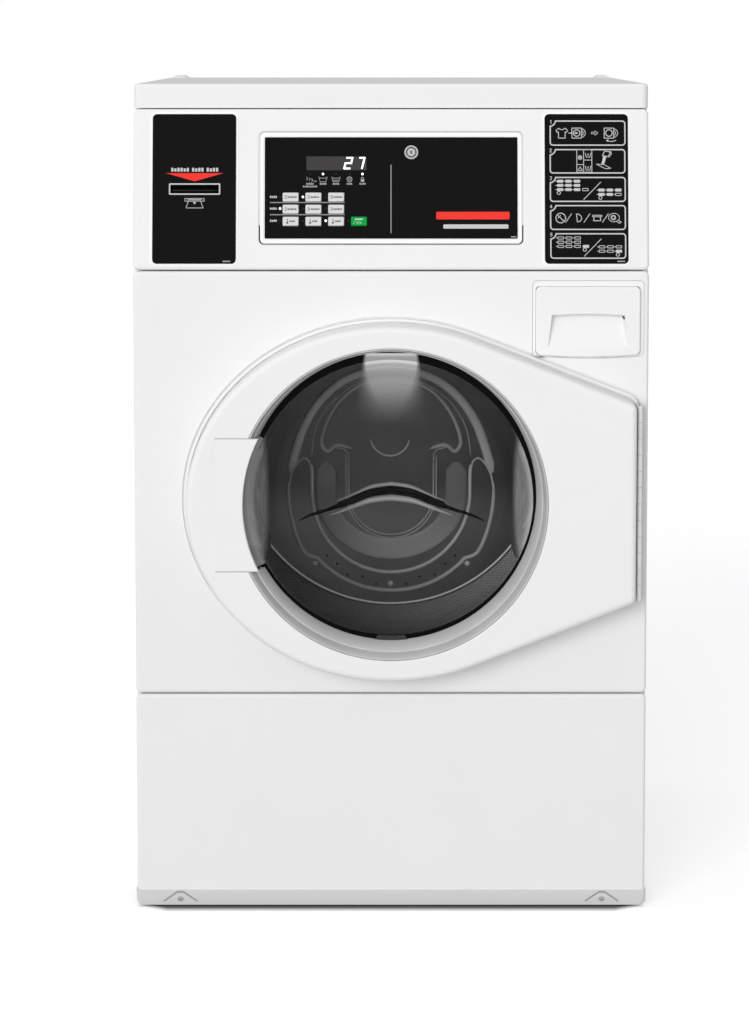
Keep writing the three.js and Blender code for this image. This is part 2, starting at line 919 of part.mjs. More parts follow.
// Lower panel, whose bottom edge slants back and carries two screw bosses
function lowerFrontPanel() {
  const high = seam.low - seam.gap / 2;
  const shell = pan(toe.low, high, 0, cabinet.panelReturn);
  const wedge = (inset) => sidePrism(
    polygon([
      [-overrun, toe.high + inset],
      [inset, toe.high + inset],
      [toe.slant + inset, toe.low - seat],
      [-overrun, toe.low - seat],
    ]),
    -half - overrun,
    half + overrun,
  );
  const strip = sidePrism(
    polygon([
      [0, toe.high],
      [sheet, toe.high + sheet],
      [toe.slant + sheet, toe.low],
      [toe.slant, toe.low],
    ]),
    -half + cabinet.panelCorner / 2,
    half - cabinet.panelCorner / 2,
  );
  const bosses = [-1, 1].map((side) => {
    const x = side * toe.bossPlace;
    const low = toe.low + seat;
    const peak = low + toe.bossRise;
    const foot = [[x - toe.bossHalf, low], [x + toe.bossHalf, low]];
    const outline = polygon([...foot, [x + toe.tip, peak], [x - toe.tip, peak]]);
    return frontPrism(outline, toe.bossFace, toe.slant);
  });
  return join(cut(shell, wedge(0)), strip, ...bosses);
}

// Control panel: a pan sheared back so that its face leans, with its openings cut square to that face
function controlPanel() {
  const low = seam.high + seam.gap / 2;
  const high = wrap.top + seat - seam.gap;
  const depth = wrap.shoulder - seat;
  const { panelEdge, panelCorner } = cabinet;
  const outline = (inset) =>
    roundedRect(-half + inset, half - inset, low + inset, high - inset, panelCorner - inset);
  const outer = frontPrism(outline(0), 0, depth + 2 * panelEdge, panelEdge);
  const inner = frontPrism(outline(sheet), sheet, depth + 3 * panelEdge, panelEdge - sheet, innerRounds);
  const slant = control.leanBack / (high - low);
  const shear = new THREE.Matrix4().set(1, 0, 0, 0, 0, 1, slant, -slant * low, 0, 0, 1, 0, 0, 0, 0, 1);
  const behind = box(-cabinet.width, cabinet.width, depth, depth + cabinet.width, 0, 2 * cabinet.height);
  const shell = cut(outer.applyMatrix4(shear), inner.applyMatrix4(shear), behind);
  const { half: wide, low: bottom, high: top, corner } = recess;
  const doorHole = frontPrism(roundedRect(-wide, wide, bottom, top, corner), -overrun, overrun);
  const border = reader.body / 2;
  const [left, right] = [reader.left - border, reader.right + border];
  const cardHole = box(left, right, -overrun, overrun, reader.low - border, reader.high + border);
  const pivotZ = recess.low + service.bottom + service.pivotRise;
  const lugs = [-1, 1].map((side) => {
    const [inside, outside] = [side * (wide + seat), side * (wide + service.lugWide)];
    const reach = service.lugDeep;
    return onSlope(box(inside, outside, sheet / 2, reach, pivotZ - reach / 2, pivotZ + reach / 2));
  });
  const pinRadius = around(service.pin, tinyCircle);
  const pinEnds = [-half + overrun, half - overrun];
  const pinHole = onSlope(rodX(service.pivotY, pivotZ, pinRadius, ...pinEnds, tinyCircle));
  return cut(join(shell, ...lugs), onSlope(doorHole), onSlope(cardHole), pinHole);
}

function flatPlate(left, right) {
  const outline = roundedRect(left, right, plate.low, plate.high, plate.corner);
  return frontPrism(outline, -plate.thick - seat, -seat);
}

function cardPlateShape() {
  const { left, right, low, high } = reader;
  const opening = box(left - seat, right + seat, -overrun, overrun, low - seat, high + seat);
  return cut(flatPlate(cardPlate.left, cardPlate.right), opening);
}

// Card reader: a block behind the plate, with a bezel in the plate and a slot behind a tapered throat
function cardReader() {
  const { left, right, low, high, body, depth, throat, slotHigh } = reader;
  const front = -plate.thick - seat;
  const bezel = box(left, right, front, sheet + body, low, high);
  const block = box(left - body, right + body, sheet + body / 2, depth, low - 3 * body, high + 3 * body);
  const inside = [left + body / 2, right - body / 2];
  const lip = body / 2;
  const mouth = sidePrism(
    polygon([
      [front - overrun, low + lip],
      [front - overrun, high - lip],
      [throat, high - lip - body],
      [throat, low + lip],
    ]),
    ...inside,
  );
  const slot = box(...inside, throat - overrun, depth - body, low + lip, low + lip + slotHigh);
  return cut(join(bezel, block), mouth, slot);
}

// Middles of the keys, row by row, with the start key last
function keyPlaces() {
  const places = [];
  for (let row = 0; row < 3; row += 1) {
    for (let column = 0; column < 3; column += 1) {
      places.push([key.left + column * key.pitchX, key.low + (2 - row) * key.pitchZ]);
    }
  }
  places.push([key.left + 3 * key.pitchX, key.low]);
  return places;
}

function keyHoles() {
  return keyPlaces().map(([x, z]) => {
    const [wide, high] = [key.wide / 2 + key.gap, key.high / 2 + key.gap];
    return box(x - wide, x + wide, -overrun, overrun, z - high, z + high);
  });
}

function keyCap([x, z]) {
  const [wide, high] = [key.wide / 2, key.high / 2];
  const face = -overlay.thick - seat - key.proud;
  const corner = 2 * key.edge;
  const outline = polygon([
    [x - wide, z - high + corner],
    [x - wide + corner, z - high],
    [x + wide - corner, z - high],
    [x + wide, z - high + corner],
    [x + wide, z + high - corner],
    [x + wide - corner, z + high],
    [x - wide + corner, z + high],
    [x - wide, z + high - corner],
  ]);
  const cap = frontPrism(outline, face, key.flangeY + corner);
  const [flangeWide, flangeHigh] = [wide + key.flange, high + key.flange];
  const rear = key.flangeY + key.flangeThick;
  return join(cap, box(x - flangeWide, x + flangeWide, key.flangeY, rear, z - flangeHigh, z + flangeHigh));
}

// Service door: a shallow pan with two pivot pins at its lower corners
function serviceDoor() {
  const wide = recess.half - service.side;
  const low = recess.low + service.bottom;
  const high = recess.high - service.top;
  const outline = (inset) =>
    roundedRect(-wide + inset, wide - inset, low + inset, high - inset, service.corner - inset);
  const shell = cut(
    frontPrism(outline(0), 0, service.depth),
    frontPrism(outline(sheet), sheet, service.depth + overrun),
  );
  const pivotZ = low + service.pivotRise;
  const pins = [-1, 1].map((side) => {
    const ends = [side * (wide - sheet / 2), side * (wide + service.pinReach)].sort((a, b) => a - b);
    return rodX(service.pivotY, pivotZ, service.pin, ...ends, tinyCircle);
  });
  const posts = boardCorners().map(([x, z]) =>
    rodY(x, z, boardSize.post, sheet / 2, boardSize.y - seat, tinyCircle));
  return cut(join(shell, ...pins, ...posts), ...keyHoles(), lockHole());
}

function boardCorners() {
  const { left, right, low, high, post } = boardSize;
  const heights = [low + 2 * post, high - 2 * post];
  return [left + 2 * post, right - 2 * post].flatMap((x) => heights.map((z) => [x, z]));
}

function lockHole() {
  const radius = around(turnLock.radius, middleCircle);
  return rodY(turnLock.x, turnLock.z, radius, -overrun, overrun, middleCircle);
}

function controlOverlay() {
  const { half: wide, low, high, thick, corner } = overlay;
  const sheetShape = frontPrism(roundedRect(-wide, wide, low, high, corner), -thick - seat, -seat);
  return cut(sheetShape, ...keyHoles(), lockHole());
}

function controlBoard() {
  const { left, right, low, high, y, thick, chipThick } = boardSize;
  const card = box(left, right, y, y + thick, low, high);
  const third = (right - left) / 3;
  const chipLow = (low + high) / 2;
  const depths = [y + thick / 2, y + thick + chipThick];
  const chip = box(left + third, right - third, ...depths, chipLow, high - third / 2);
  const plug = box(left + third / 2, left + third - chipThick, ...depths, low + chipThick, chipLow);
  return join(card, chip, plug);
}

function lockCylinder() {
  const { x, z, radius, proud, rear, camThick, camWide, camLong } = turnLock;
  const barrel = rodY(x, z, radius, -overlay.thick - seat - proud, rear + camThick / 2, middleCircle);
  const cam = box(x - camWide / 2, x + camLong, rear, rear + camThick, z - camWide / 2, z + camWide / 2);
  const keyway = box(x - seat * 2, x + seat * 2, -overrun, proud, z - radius / 2, z + radius / 2);
  return cut(join(barrel, cam), keyway);
}

// Housing of the drawer: a bezel in the front panel and a sleeve above the tub
function dispenserHousing() {
  const { left, right, low, high, corner, bezelFront, bezelRear, wall, rear, sleeveLow, play } = housing;
  const bezelSides = [left + seat, right - seat];
  const outline = roundedRect(...bezelSides, low + seat, high - seat, corner - seat, drawer.bow);
  const bezel = frontPrism(outline, bezelFront, bezelRear);
  const sleeve = box(left + seat, right - seat, bezelRear - wall, rear, sleeveLow, high - seat);
  const faceSides = [drawer.left - play, drawer.right + play];
  const faceHeights = [drawer.low - play, drawer.high + play];
  const face = roundedRect(...faceSides, ...faceHeights, drawer.corner, drawer.bow);
  const faceRoom = frontPrism(face, bezelFront - overrun, bezelRear - wall);
  const inset = drawer.trayInset - play;
  const tray = [drawer.left + inset, drawer.right - inset, bezelFront, rear - wall];
  const trayRoom = box(...tray, drawer.trayLow - play, high - seat - wall);
  return cut(join(bezel, sleeve), faceRoom, trayRoom);
}

// Drawer: a hollow front with a finger scoop, and a tray with three compartments
function dispenserDrawer() {
  const { left, right, low, high, corner, bow, front, back, wall } = drawer;
  const { trayLow, trayHigh, trayRear, trayInset, divider } = drawer;
  const outline = roundedRect(left, right, low, high, corner, bow);
  const faceBlock = frontPrism(outline, front, back, drawer.edge);
  const hollowHeights = [low + bow + wall, high - wall];
  const hollow = box(left + wall, right - wall, front + wall, back + overrun, ...hollowHeights);
  const scoopShell = scoopShape(wall);
  const face = cut(faceBlock, cut(hollow, scoopShell), scoopShape(0));
  const tray = box(left + trayInset, right - trayInset, back - wall, trayRear, trayLow, trayHigh);
  const width = right - left - 2 * trayInset;
  const room = (width - 2 * wall - 2 * divider) / 3;
  const rooms = [0, 1, 2].map((index) => {
    const start = left + trayInset + wall + index * (room + divider);
    return box(start, start + room, back, trayRear - wall, trayLow + wall, trayHigh + overrun);
  });
  return join(face, cut(tray, ...rooms));
}

// Finger scoop, deepest under its top edge, whose floor runs out to the face at the bottom
function scoopShape(grow) {
  const top = scoop.top + grow;
  const deep = drawer.front + scoop.depth + grow;
  const shape = new THREE.Shape();
  shape.moveTo(drawer.front - overrun, top);
  shape.lineTo(deep, top);
  shape.lineTo(deep, (top + scoop.low) / 2);
  shape.quadraticCurveTo(deep, scoop.low - grow, drawer.front, scoop.low - grow);
  shape.lineTo(drawer.front - overrun, scoop.low - grow);
  const wide = sidePrism(shape, scoop.left - scoop.flare - grow, scoop.right + scoop.flare + grow);
  const taper = frontPrism(
    polygon([
      [scoop.left - grow, top + overrun],
      [scoop.right + grow, top + overrun],
      [scoop.right + scoop.flare + grow, scoop.low - overrun],
      [scoop.left - scoop.flare - grow, scoop.low - overrun],
    ]),
    drawer.front - 2 * overrun,
    drawer.back + 2 * overrun,
  );
  return overlapOf(wide, taper);
}

function waterValve() {
  const ports = [-1, 1].map((side) => {
    const x = valve.x + side * valve.pitch / 2;
    const inside = rearWall - sheet - valve.bodyLong / 2;
    const tube = rodY(x, valve.z, valve.portRadius, inside, cabinet.depth + valve.reach);
    const coilY = rearWall - sheet - valve.bodyLong + valve.portRadius - valve.collar;
    const coilHeights = [valve.z - valve.collar, valve.z + valve.bodyHigh];
    const coil = rodZ(x, coilY, valve.portRadius - valve.collar, ...coilHeights);
    return [tube, coil];
  });
  const wide = valve.pitch / 2 + valve.portRadius + valve.collar;
  const rear = rearWall - sheet - seat;
  const high = valve.bodyHigh / 2;
  const sides = [valve.x - wide, valve.x + wide];
  const flange = box(...sides, rear - valve.collar, rear, valve.z - high, valve.z + high);
  const bodyHeights = [valve.z - valve.portRadius - valve.collar, valve.z + valve.collar / 2];
  const body = box(...sides, rear - valve.bodyLong, rear - valve.collar / 2, ...bodyHeights);
  const bores = [-1, 1].map((side) => {
    const x = valve.x + side * valve.pitch / 2;
    const mouth = cabinet.depth + valve.reach + overrun;
    return rodY(x, valve.z, valve.portRadius - valve.collar, cabinet.depth - overrun, mouth);
  });
  return cut(join(flange, body, ...ports.flat()), ...bores);
}

// Door lock behind the plateau, with a pocket that the strike enters
function doorLock() {
  const { left, right, low, high, front, rear, play } = lock;
  const body = box(-left, -right, front, rear, axis.height - low, axis.height + high);
  const pocketLeft = -strike.x - strike.thick / 2 - play;
  const pocketRight = -strike.x + strike.thick / 2 + play / 2;
  const pocketHalf = strike.half + play / 2;
  const reach = door.rear + strike.reach + play;
  const [pocketLow, pocketHigh] = [axis.height - pocketHalf, axis.height + pocketHalf];
  return cut(body, box(pocketLeft, pocketRight, front - overrun, reach, pocketLow, pocketHigh));
}

// Bellows: a bead round the panel's neck, a lip towards the glass, a fold and a collar on the tub
function doorGasket() {
  const { wall, lipRadius, collarFront, fold, crest, collarRear } = gasket;
  const bead = plateau.neckRear + wall / 2 + seat;
  const collarEnd = tub.neckFront + 2 * wall;
  const lipLine = [[collarFront, sheet / 2], [collarFront, bead], [fold, bead], [lipRadius, sheet]];
  const foldLine = [
    [fold, bead - wall / 4],
    [fold, bead + wall],
    [crest, bead + 3 * wall],
    [collarRear - wall, bead + 4.5 * wall],
    [collarRear, bead + 5 * wall],
    [collarRear, collarEnd],
  ];
  return join(axisTurn(wallOutline(lipLine, wall)), axisTurn(wallOutline(foldLine, wall)));
}

// Front shell of the loading door, hollow from behind
function doorFrame() {
  const { front, parting, wall, roundFront, window } = door;
  const outer = doorPrism(0, front, parting + 2 * roundFront, roundFront);
  const inner = doorPrism(-wall, front + wall, parting + 3 * roundFront, roundFront - wall, innerRounds);
  const windowWall = axisRod(window + wall, front, parting + 3 * roundFront);
  const behind = box(-cabinet.width, cabinet.width, parting, cabinet.width, 0, cabinet.height);
  const opening = axisRod(window, front - overrun, parting + 3 * roundFront + overrun);
  return cut(outer, cut(inner, windowWall), behind, opening, gripBlock(grip.clearance, overrun));
}

// Rear shell of the loading door, with the seat of the glass
function doorLiner() {
  const { parting, rear, wall, roundRear } = door;
  const front = parting + seat;
  const outer = doorPrism(-seat, front - 2 * roundRear, rear, roundRear);
  const ahead = box(-cabinet.width, cabinet.width, -cabinet.width, front, 0, cabinet.height);
  const inner = doorPrism(-wall - seat, front - 3 * roundRear, rear - wall);
  const seatWall = axisRod(glass.flange + wall + 2 * seat, front - roundRear, rear);
  const hollow = cut(inner, seatWall);
  const room = around(glass.flange, bigCircle);
  const seatDepth = trim.lipDepth + glass.wall + 2 * seat;
  const glassRoom = axisRod(room, front - overrun, seatDepth);
  const opening = axisRod(glass.mouth + glass.wall + 2 * seat, front - overrun, rear + overrun);
  return cut(outer, ahead, hollow, glassRoom, opening);
}

// Silver funnel between the door's face and the glass
function windowTrim() {
  const { lip, lipDepth, wall, collar } = trim;
  const outerEdge = door.window - seat - wall / 2;
  const line = [
    [outerEdge, door.front + wall],
    [lip + wall / 2, lipDepth - wall / 2],
    [glass.flange, lipDepth - wall / 2],
  ];
  const funnel = axisTurn(wallOutline(line, wall));
  const rimDepths = [door.front + wall / 2, door.front + collar];
  const rim = axisTurn(ringOutline(outerEdge - wall / 2, outerEdge + wall / 2, ...rimDepths));
  return cut(join(funnel, rim), gripBlock(grip.clearance, overrun));
}

// Glass bowl with its flange
function doorGlass() {
  const { wall, flange, mouth, throat, floor, reach, mouthDepth } = glass;
  const flangeDepth = trim.lipDepth + wall / 2 + seat;
  const edge = reach - (throat - floor);
  const line = [
    [flange, flangeDepth],
    [mouth + wall / 2, flangeDepth],
    [mouth, mouthDepth],
    [throat, edge],
    [floor, reach],
    [0, reach + wall / 2],
  ];
  return axisTurn(wallOutline(line, wall));
}

// Grip on the left of the window: its inner edge follows the glass
function gripBlock(grow, extra) {
  const { half: high, left, inner, thick, corner, edge } = grip;
  const rise = high + grow;
  const radius = inner - grow;
  const angle = Math.asin(rise / radius);
  const points = [
    [-left - grow, axis.height + rise - corner],
    [-left - grow, axis.height - rise + corner],
    [-left - grow + corner, axis.height - rise],
  ];
  for (let index = 0; index <= grip.steps; index += 1) {
    const turn = Math.PI + angle * (1 - 2 * index / grip.steps);
    points.push([radius * Math.cos(turn), axis.height + radius * Math.sin(turn)]);
  }
  points.push([-left - grow + corner, axis.height + rise]);
  const shape = polygon(points);
  const rounding = grow > 0 ? 0 : edge;
  return frontPrism(shape, door.front - extra, door.front + thick + grow, rounding, innerRounds);
}

function doorHandle() {
  return gripBlock(0, 0);
}

// Strike: a tongue with a window for the lock's bolt, on a foot under the door's liner
function doorStrike() {
  const rear = door.rear + strike.reach;
  const [left, right] = [-strike.x - strike.thick / 2, -strike.x + strike.thick / 2];
  const [low, high] = [axis.height - strike.half, axis.height + strike.half];
  const footThick = strike.thick / 2;
  const front = door.rear + seat;
  const tongue = box(left, right, front, rear, low, high);
  const [footLow, footHigh] = [low - strike.thick, high + strike.thick];
  const base = box(left - strike.thick, right + strike.thick, front, front + footThick, footLow, footHigh);
  const holeDepths = [rear - 3 * strike.thick, rear - strike.thick];
  const hole = box(left - overrun, right + overrun, ...holeDepths, low + strike.window, high - strike.window);
  return cut(join(tongue, base), hole);
}

// Heights of the knuckles that belong to one leaf: every second one
function knuckleSpans(first) {
  const pitch = 2 * hinge.half / hinge.knuckles;
  const spans = [];
  for (let index = first; index < hinge.knuckles; index += 2) {
    const low = axis.height - hinge.half + index * pitch;
    spans.push([low + hinge.play / 2, low + pitch - hinge.play / 2]);
  }
  return spans;
}

const knuckle = ([low, high], radius) => rodZ(hinge.x, hinge.y, radius, low, high, tinyCircle);

// Hinge leaf on the door's edge, with every second knuckle
function doorHingeLeaf() {
  const outside = hinge.x - hinge.radius;
  const [low, high] = [axis.height - hinge.half, axis.height + hinge.half];
  const leaf = box(outside, outside + hinge.leaf, hinge.y, hinge.doorLeafRear, low, high);
  const gaps = knuckleSpans(0).map(([from, to]) => {
    const reach = hinge.radius + hinge.play;
    const heights = [from - hinge.play, to + hinge.play];
    return box(outside - overrun, hinge.x + reach, hinge.y - reach, hinge.y + reach, ...heights);
  });
  const knuckles = knuckleSpans(1).map((span) => knuckle(span, hinge.radius));
  return cut(cut(join(leaf, ...knuckles), ...gaps), knuckle([low - overrun, high + overrun], hinge.bore));
}

// Hinge leaf of the cabinet: a flange on the plateau, the other knuckles and the pin
function cabinetHingeLeaf() {
  const inner = hinge.x + hinge.radius - hinge.leaf;
  const [low, high] = [axis.height - hinge.half, axis.height + hinge.half];
  const flangeFront = -plateau.rise - seat - hinge.flangeThick;
  const leaf = box(inner, inner + hinge.leaf, hinge.y, -plateau.rise - seat, low, high);
  const flangeSides = [inner - hinge.flange, inner + hinge.leaf / 2];
  const flange = box(...flangeSides, flangeFront, -plateau.rise - seat, low, high);
  const gaps = knuckleSpans(1).map(([from, to]) => {
    const reach = hinge.radius + hinge.play;
    const heights = [from - hinge.play, to + hinge.play];
    return box(hinge.x - reach, inner + overrun, hinge.y - reach, hinge.y + reach, ...heights);
  });
  const knuckles = knuckleSpans(0).map((span) => knuckle(span, hinge.radius));
  return join(cut(join(leaf, flange, ...knuckles), ...gaps), knuckle([low, high], hinge.pin));
}

// Front half of the tub: a neck for the gasket, an annular wall and a clamping rim
function tubFront() {
  const { inner, wall, front, neckInner, neckOuter, neckFront, split, rimOuter } = tub;
  const middle = inner + wall / 2;
  const line = [
    [(neckInner + neckOuter) / 2, neckFront],
    [(neckInner + neckOuter) / 2, front + wall / 2],
    [middle - wall, front + wall / 2],
    [middle, front + 2 * wall],
    [middle, split - wall / 2 - seat],
    [rimOuter, split - wall / 2 - seat],
  ];
  const neckWall = neckOuter - neckInner;
  return axisTurn(wallOutline(line, neckWall));
}

// Rear half of the tub: cylinder, ribbed rear wall, bearing hub, and the ears that carry it
function tubRear() {
  const { inner, wall, split, rimOuter, rear, hubRadius, hubTip, hubFront, hubRear } = tub;
  const middle = inner + wall / 2;
  const line = [
    [rimOuter, split + wall / 2],
    [middle, split + wall / 2],
    [middle, rear - 2 * wall],
    [middle - 2 * wall, rear + wall / 2],
    [hubRadius - wall, rear + wall / 2],
  ];
  const shell = axisTurn(wallOutline(line, wall), tubCircle);
  const bore = around(shaft.radius, middleCircle);
  const hub = axisTurn([
    [bore, hubFront],
    [hubRadius - 2 * wall, hubFront],
    [hubRadius, rear],
    [hubTip, hubRear],
    [bore, hubRear],
  ], middleCircle);
  const roomEnd = bearing.frontY + bearing.frontWide + seat;
  const bearingRooms = [
    axisRod(bearing.frontRadius + seat, hubFront - overrun, roomEnd, middleCircle),
    axisRod(bearing.rearRadius + seat, bearing.rearY - seat, hubRear + overrun, middleCircle),
  ];
  const ears = [-1, 1].map(springEar);
  const lugs = [-1, 1].map(damperLug);
  const neck = rodZ(sump.x, sump.y, sump.radius, sump.low, axis.height - inner / 2);
  const neckBore = rodZ(sump.x, sump.y, sump.bore, sump.low - overrun, axis.height);
  const outside = join(cut(neck, axisRod(inner + wall / 2, tub.front, rear, tubCircle)), shell);
  const body = cut(join(outside, hub, ...tubRibs(), ...ears, ...lugs, ...motorLugs()), ...bearingRooms);
  return cut(body, neckBore, rodY(0, axis.height, bore, hubFront, hubRear, middleCircle));
}

function tubRibs() {
  const ribs = [];
  const from = tub.hubRadius - tub.wall;
  const to = tub.inner - tub.wall;
  for (let index = 0; index < tub.ribs; index += 1) {
    const [front, back] = [tub.rear + tub.wall / 2, tub.rear + tub.wall + tub.ribHigh];
    const rib = box(from, to, front, back, -tub.ribThick / 2, tub.ribThick / 2);
    ribs.push(rib.rotateY(2 * Math.PI * index / tub.ribs).translate(0, 0, axis.height));
  }
  return ribs;
}

const mirrored = (side, points) => points.map(([x, z]) => [side * x, z]);

// Ear on the tub's shoulder that a spring's lower hook passes through
function springEar(side) {
  const high = spring.lowHook + spring.lip;
  const outside = spring.x + spring.lip;
  const outline = [
    onCircle(tub.root, spring.earFrom),
    [outside, spring.lowHook],
    [outside, high],
    [spring.x - spring.lip, high],
    onCircle(tub.root, spring.earTo),
  ];
  const depths = [spring.y - spring.plate / 2, spring.y + spring.plate / 2];
  const ear = frontPrism(polygon(mirrored(side, outline)), ...depths);
  const reach = [spring.y - spring.plate, spring.y + spring.plate];
  return cut(ear, rodY(side * spring.x, spring.lowHook, spring.hole, ...reach));
}

function damperLug(side) {
  const { x, lugHalf, rodTop, lugThick, y, lugFrom, lugTo } = damper;
  const [inside, outside] = [x - lugHalf, x + lugHalf];
  const outline = [
    onCircle(tub.root, lugFrom),
    [inside, rodTop],
    [outside, rodTop],
    [outside, rodTop + lugHalf],
    onCircle(tub.root, lugTo),
  ];
  return frontPrism(polygon(mirrored(side, outline)), y - lugThick / 2, y + lugThick / 2);
}

// Two plates under the tub that the motor's brackets meet
function motorLugs() {
  const spread = THREE.MathUtils.radToDeg(Math.asin(carrier.half / tub.root));
  return [carrier.frontY, carrier.rearY].map((y) => {
    const outline = [
      onCircle(tub.root, -90 - spread),
      [-carrier.half, carrier.low],
      [carrier.half, carrier.low],
      onCircle(tub.root, spread - 90),
    ];
    return frontPrism(polygon(outline), y - carrier.thick / 2, y + carrier.thick / 2);
  });
}

// Cast block that sits on top of the tub like a saddle
function counterweightBlock() {
  const { left, right, front, rear, top, leftLow, rightLow } = counterweight;
  const { height } = axis;
  const block = box(-left, right, front, rear, height, top);
  const hollow = axisRod(tub.inner + tub.wall + seat, front - overrun, rear + overrun, tubCircle);
  const under = polygon([
    [-left - overrun, height - overrun],
    [right + overrun, height - overrun],
    [right + overrun, rightLow],
    [-left - overrun, leftLow],
  ]);
  return cut(block, hollow, frontPrism(under, front - overrun, rear + overrun));
}

// Points of a spring's wire: upper hook, curls and lower hook
function springPath(side) {
  const { x, y, lowHook, highHook, radius, wire, hole, curls, steps, stem, hookSteps } = spring;
  const slack = hole * Math.cos(Math.PI / smallCircle) - wire - seat;
  const bend = slack + radius * Math.cos(Math.PI / (2 * hookSteps));
  const [lowCentre, highCentre] = [lowHook + bend, highHook - bend];
  const [low, high] = [lowCentre + stem, highCentre - stem];
  const hook = (centre, way) => {
    const bends = [];
    for (let index = 0; index <= hookSteps; index += 1) {
      const angle = Math.PI * index / hookSteps;
      const [across, up] = [-way * radius * Math.cos(angle), way * radius * Math.sin(angle)];
      bends.push(new THREE.Vector3(0, across, centre + up));
    }
    return bends;
  };
  const lowTail = hook(lowCentre, -1).reverse();
  const highTail = hook(highCentre, 1);
  const points = [];
  const turns = curls + 0.5;
  const count = Math.round(turns * steps);
  for (let index = 0; index <= count; index += 1) {
    const angle = Math.PI / 2 + 2 * Math.PI * index / steps;
    const height = low + (high - low) * index / count;
    points.push(new THREE.Vector3(radius * Math.cos(angle), radius * Math.sin(angle), height));
  }
  const path = [...lowTail, ...points, ...highTail];
  return path.map((point) => new THREE.Vector3(side * (x + point.x), y + point.y, point.z));
}

// Least gap between the surfaces of two stretches of a wire that aren't neighbours
function leastGap(points, radius, apart) {
  let least = Infinity;
  points.forEach((point, i) => {
    points.slice(i + apart).forEach((other) => {
      least = Math.min(least, point.distanceTo(other) - 2 * radius);
    });
  });
  return least;
}

function coilSpring(side) {
  const points = springPath(side);
  const gap = leastGap(points, spring.wire, spring.steps / 2);
  console.log(`spring wire: least gap to itself ${gap.toFixed(2)} mm`);
  return sweep(points, spring.wire, spring.sides);
}

function damperTube(side) {
  const x = side * damper.x;
  const low = cabinet.groundGap + base.sheet + base.beamRise + seat;
  const outer = rodZ(x, damper.y, damper.tubeRadius, low, damper.tubeTop);
  return cut(outer, rodZ(x, damper.y, damper.bore, low + damper.floor, damper.tubeTop + overrun));
}

function damperRod(side) {
  const x = side * damper.x;
  const outline = [
    [0, damper.pistonLow],
    [damper.pistonRadius, damper.pistonLow],
    [damper.pistonRadius, damper.pistonHigh],
    [damper.rodRadius, damper.pistonHigh],
    [damper.rodRadius, damper.rodTop - seat - damper.pistonRadius],
    [damper.pistonRadius, damper.rodTop - seat - damper.pistonRadius / 2],
    [damper.pistonRadius, damper.rodTop - seat],
    [0, damper.rodTop - seat],
  ];
  return revolveZ(outline, x, damper.y, smallCircle);
}

function drainPump() {
  const floor = cabinet.groundGap + base.sheet + seat;
  const volute = rodZ(sump.x, sump.y, pump.volute, floor, pump.top, middleCircle);
  const spigot = rodZ(sump.x, sump.y, pump.spigot, floor, pump.spigotTop);
  const coilZ = floor + pump.motorRadius;
  const coil = rodX(sump.y, coilZ, pump.motorRadius, sump.x, pump.motorEnd);
  const bore = rodZ(sump.x, sump.y, sump.bore, pump.top, pump.spigotTop + overrun);
  return cut(join(volute, spigot, coil), bore);
}

// Ribbed hose between the sump neck and the pump
function drainHose() {
  const inner = Math.max(pump.spigot, sump.radius) + seat;
  const { low, high, wall, crest, waves } = hose;
  const cuff = [pump.spigotTop + wall, sump.low - wall];
  const line = [[inner + wall / 2, low], [inner + wall / 2, cuff[0]]];
  const pitch = (cuff[1] - cuff[0]) / waves;
  for (let index = 0; index < waves; index += 1) {
    line.push([inner + wall / 2 + crest, cuff[0] + (index + 0.5) * pitch]);
    line.push([inner + wall / 2, cuff[0] + (index + 1) * pitch]);
  }
  line.push([inner + wall / 2, high]);
  return revolveZ(wallOutline(line, wall), sump.x, sump.y, smallCircle);
}

// Basket: rolled lip, flared front, cylinder, dished back, with three lifters inside
function drumBasket() {
  const { lip, radius, wall, front, shoulder, back, backEdge, dish, dishRadius } = drum;
  const line = [
    [lip + wall, front + 4 * wall],
    [lip, front + 2 * wall],
    [lip + wall, front],
    [radius - 3 * wall, shoulder - 2 * wall],
    [radius, shoulder + 2 * wall],
    [radius, backEdge],
    [radius - (back - backEdge), back],
    [dishRadius, back],
    [dishRadius - dish, back - dish],
    [0, back - dish],
  ];
  const shell = axisTurn(wallOutline(line, wall));
  const lifters = [];
  for (let index = 0; index < drum.lifters; index += 1) {
    const outline = polygon([
      [-drum.lifterBase / 2, -radius + wall / 4],
      [drum.lifterBase / 2, -radius + wall / 4],
      [drum.lifterTip / 2, -radius + drum.lifterRise],
      [-drum.lifterTip / 2, -radius + drum.lifterRise],
    ]);
    const turn = THREE.MathUtils.degToRad(drum.lifterTurn + 360 * index / drum.lifters - 90);
    const lifter = frontPrism(outline, drum.lifterFront, drum.lifterRear, 0).rotateY(turn);
    const limit = rodY(0, 0, radius, drum.lifterFront - overrun, drum.lifterRear + overrun, bigCircle);
    lifters.push(overlapOf(lifter, limit).translate(0, 0, axis.height));
  }
  return join(shell, ...lifters);
}

// Shaft with the cast spider that carries the basket
function drumShaft() {
  const { radius, hub, armRoot, armTip, armThick, armReach, rear } = shaft;
  const front = drum.back + drum.wall / 2 + seat;
  const core = axisTurn([
    [0, front],
    [hub, front],
    [hub, front + armThick],
    [radius + seat * 2, tub.hubFront - 2 * seat],
    [radius, tub.hubFront - 2 * seat],
    [radius, rear],
    [0, rear],
  ], middleCircle);
  const arms = [];
  for (let index = 0; index < drum.lifters; index += 1) {
    const outline = polygon([[0, -armRoot], [armReach, -armTip], [armReach, armTip], [0, armRoot]]);
    const arm = frontPrism(outline, front, front + armThick);
    const turn = THREE.MathUtils.degToRad(360 * index / drum.lifters - drum.lifterTurn);
    arms.push(arm.rotateY(turn).translate(0, 0, axis.height));
  }
  return join(core, ...arms);
}

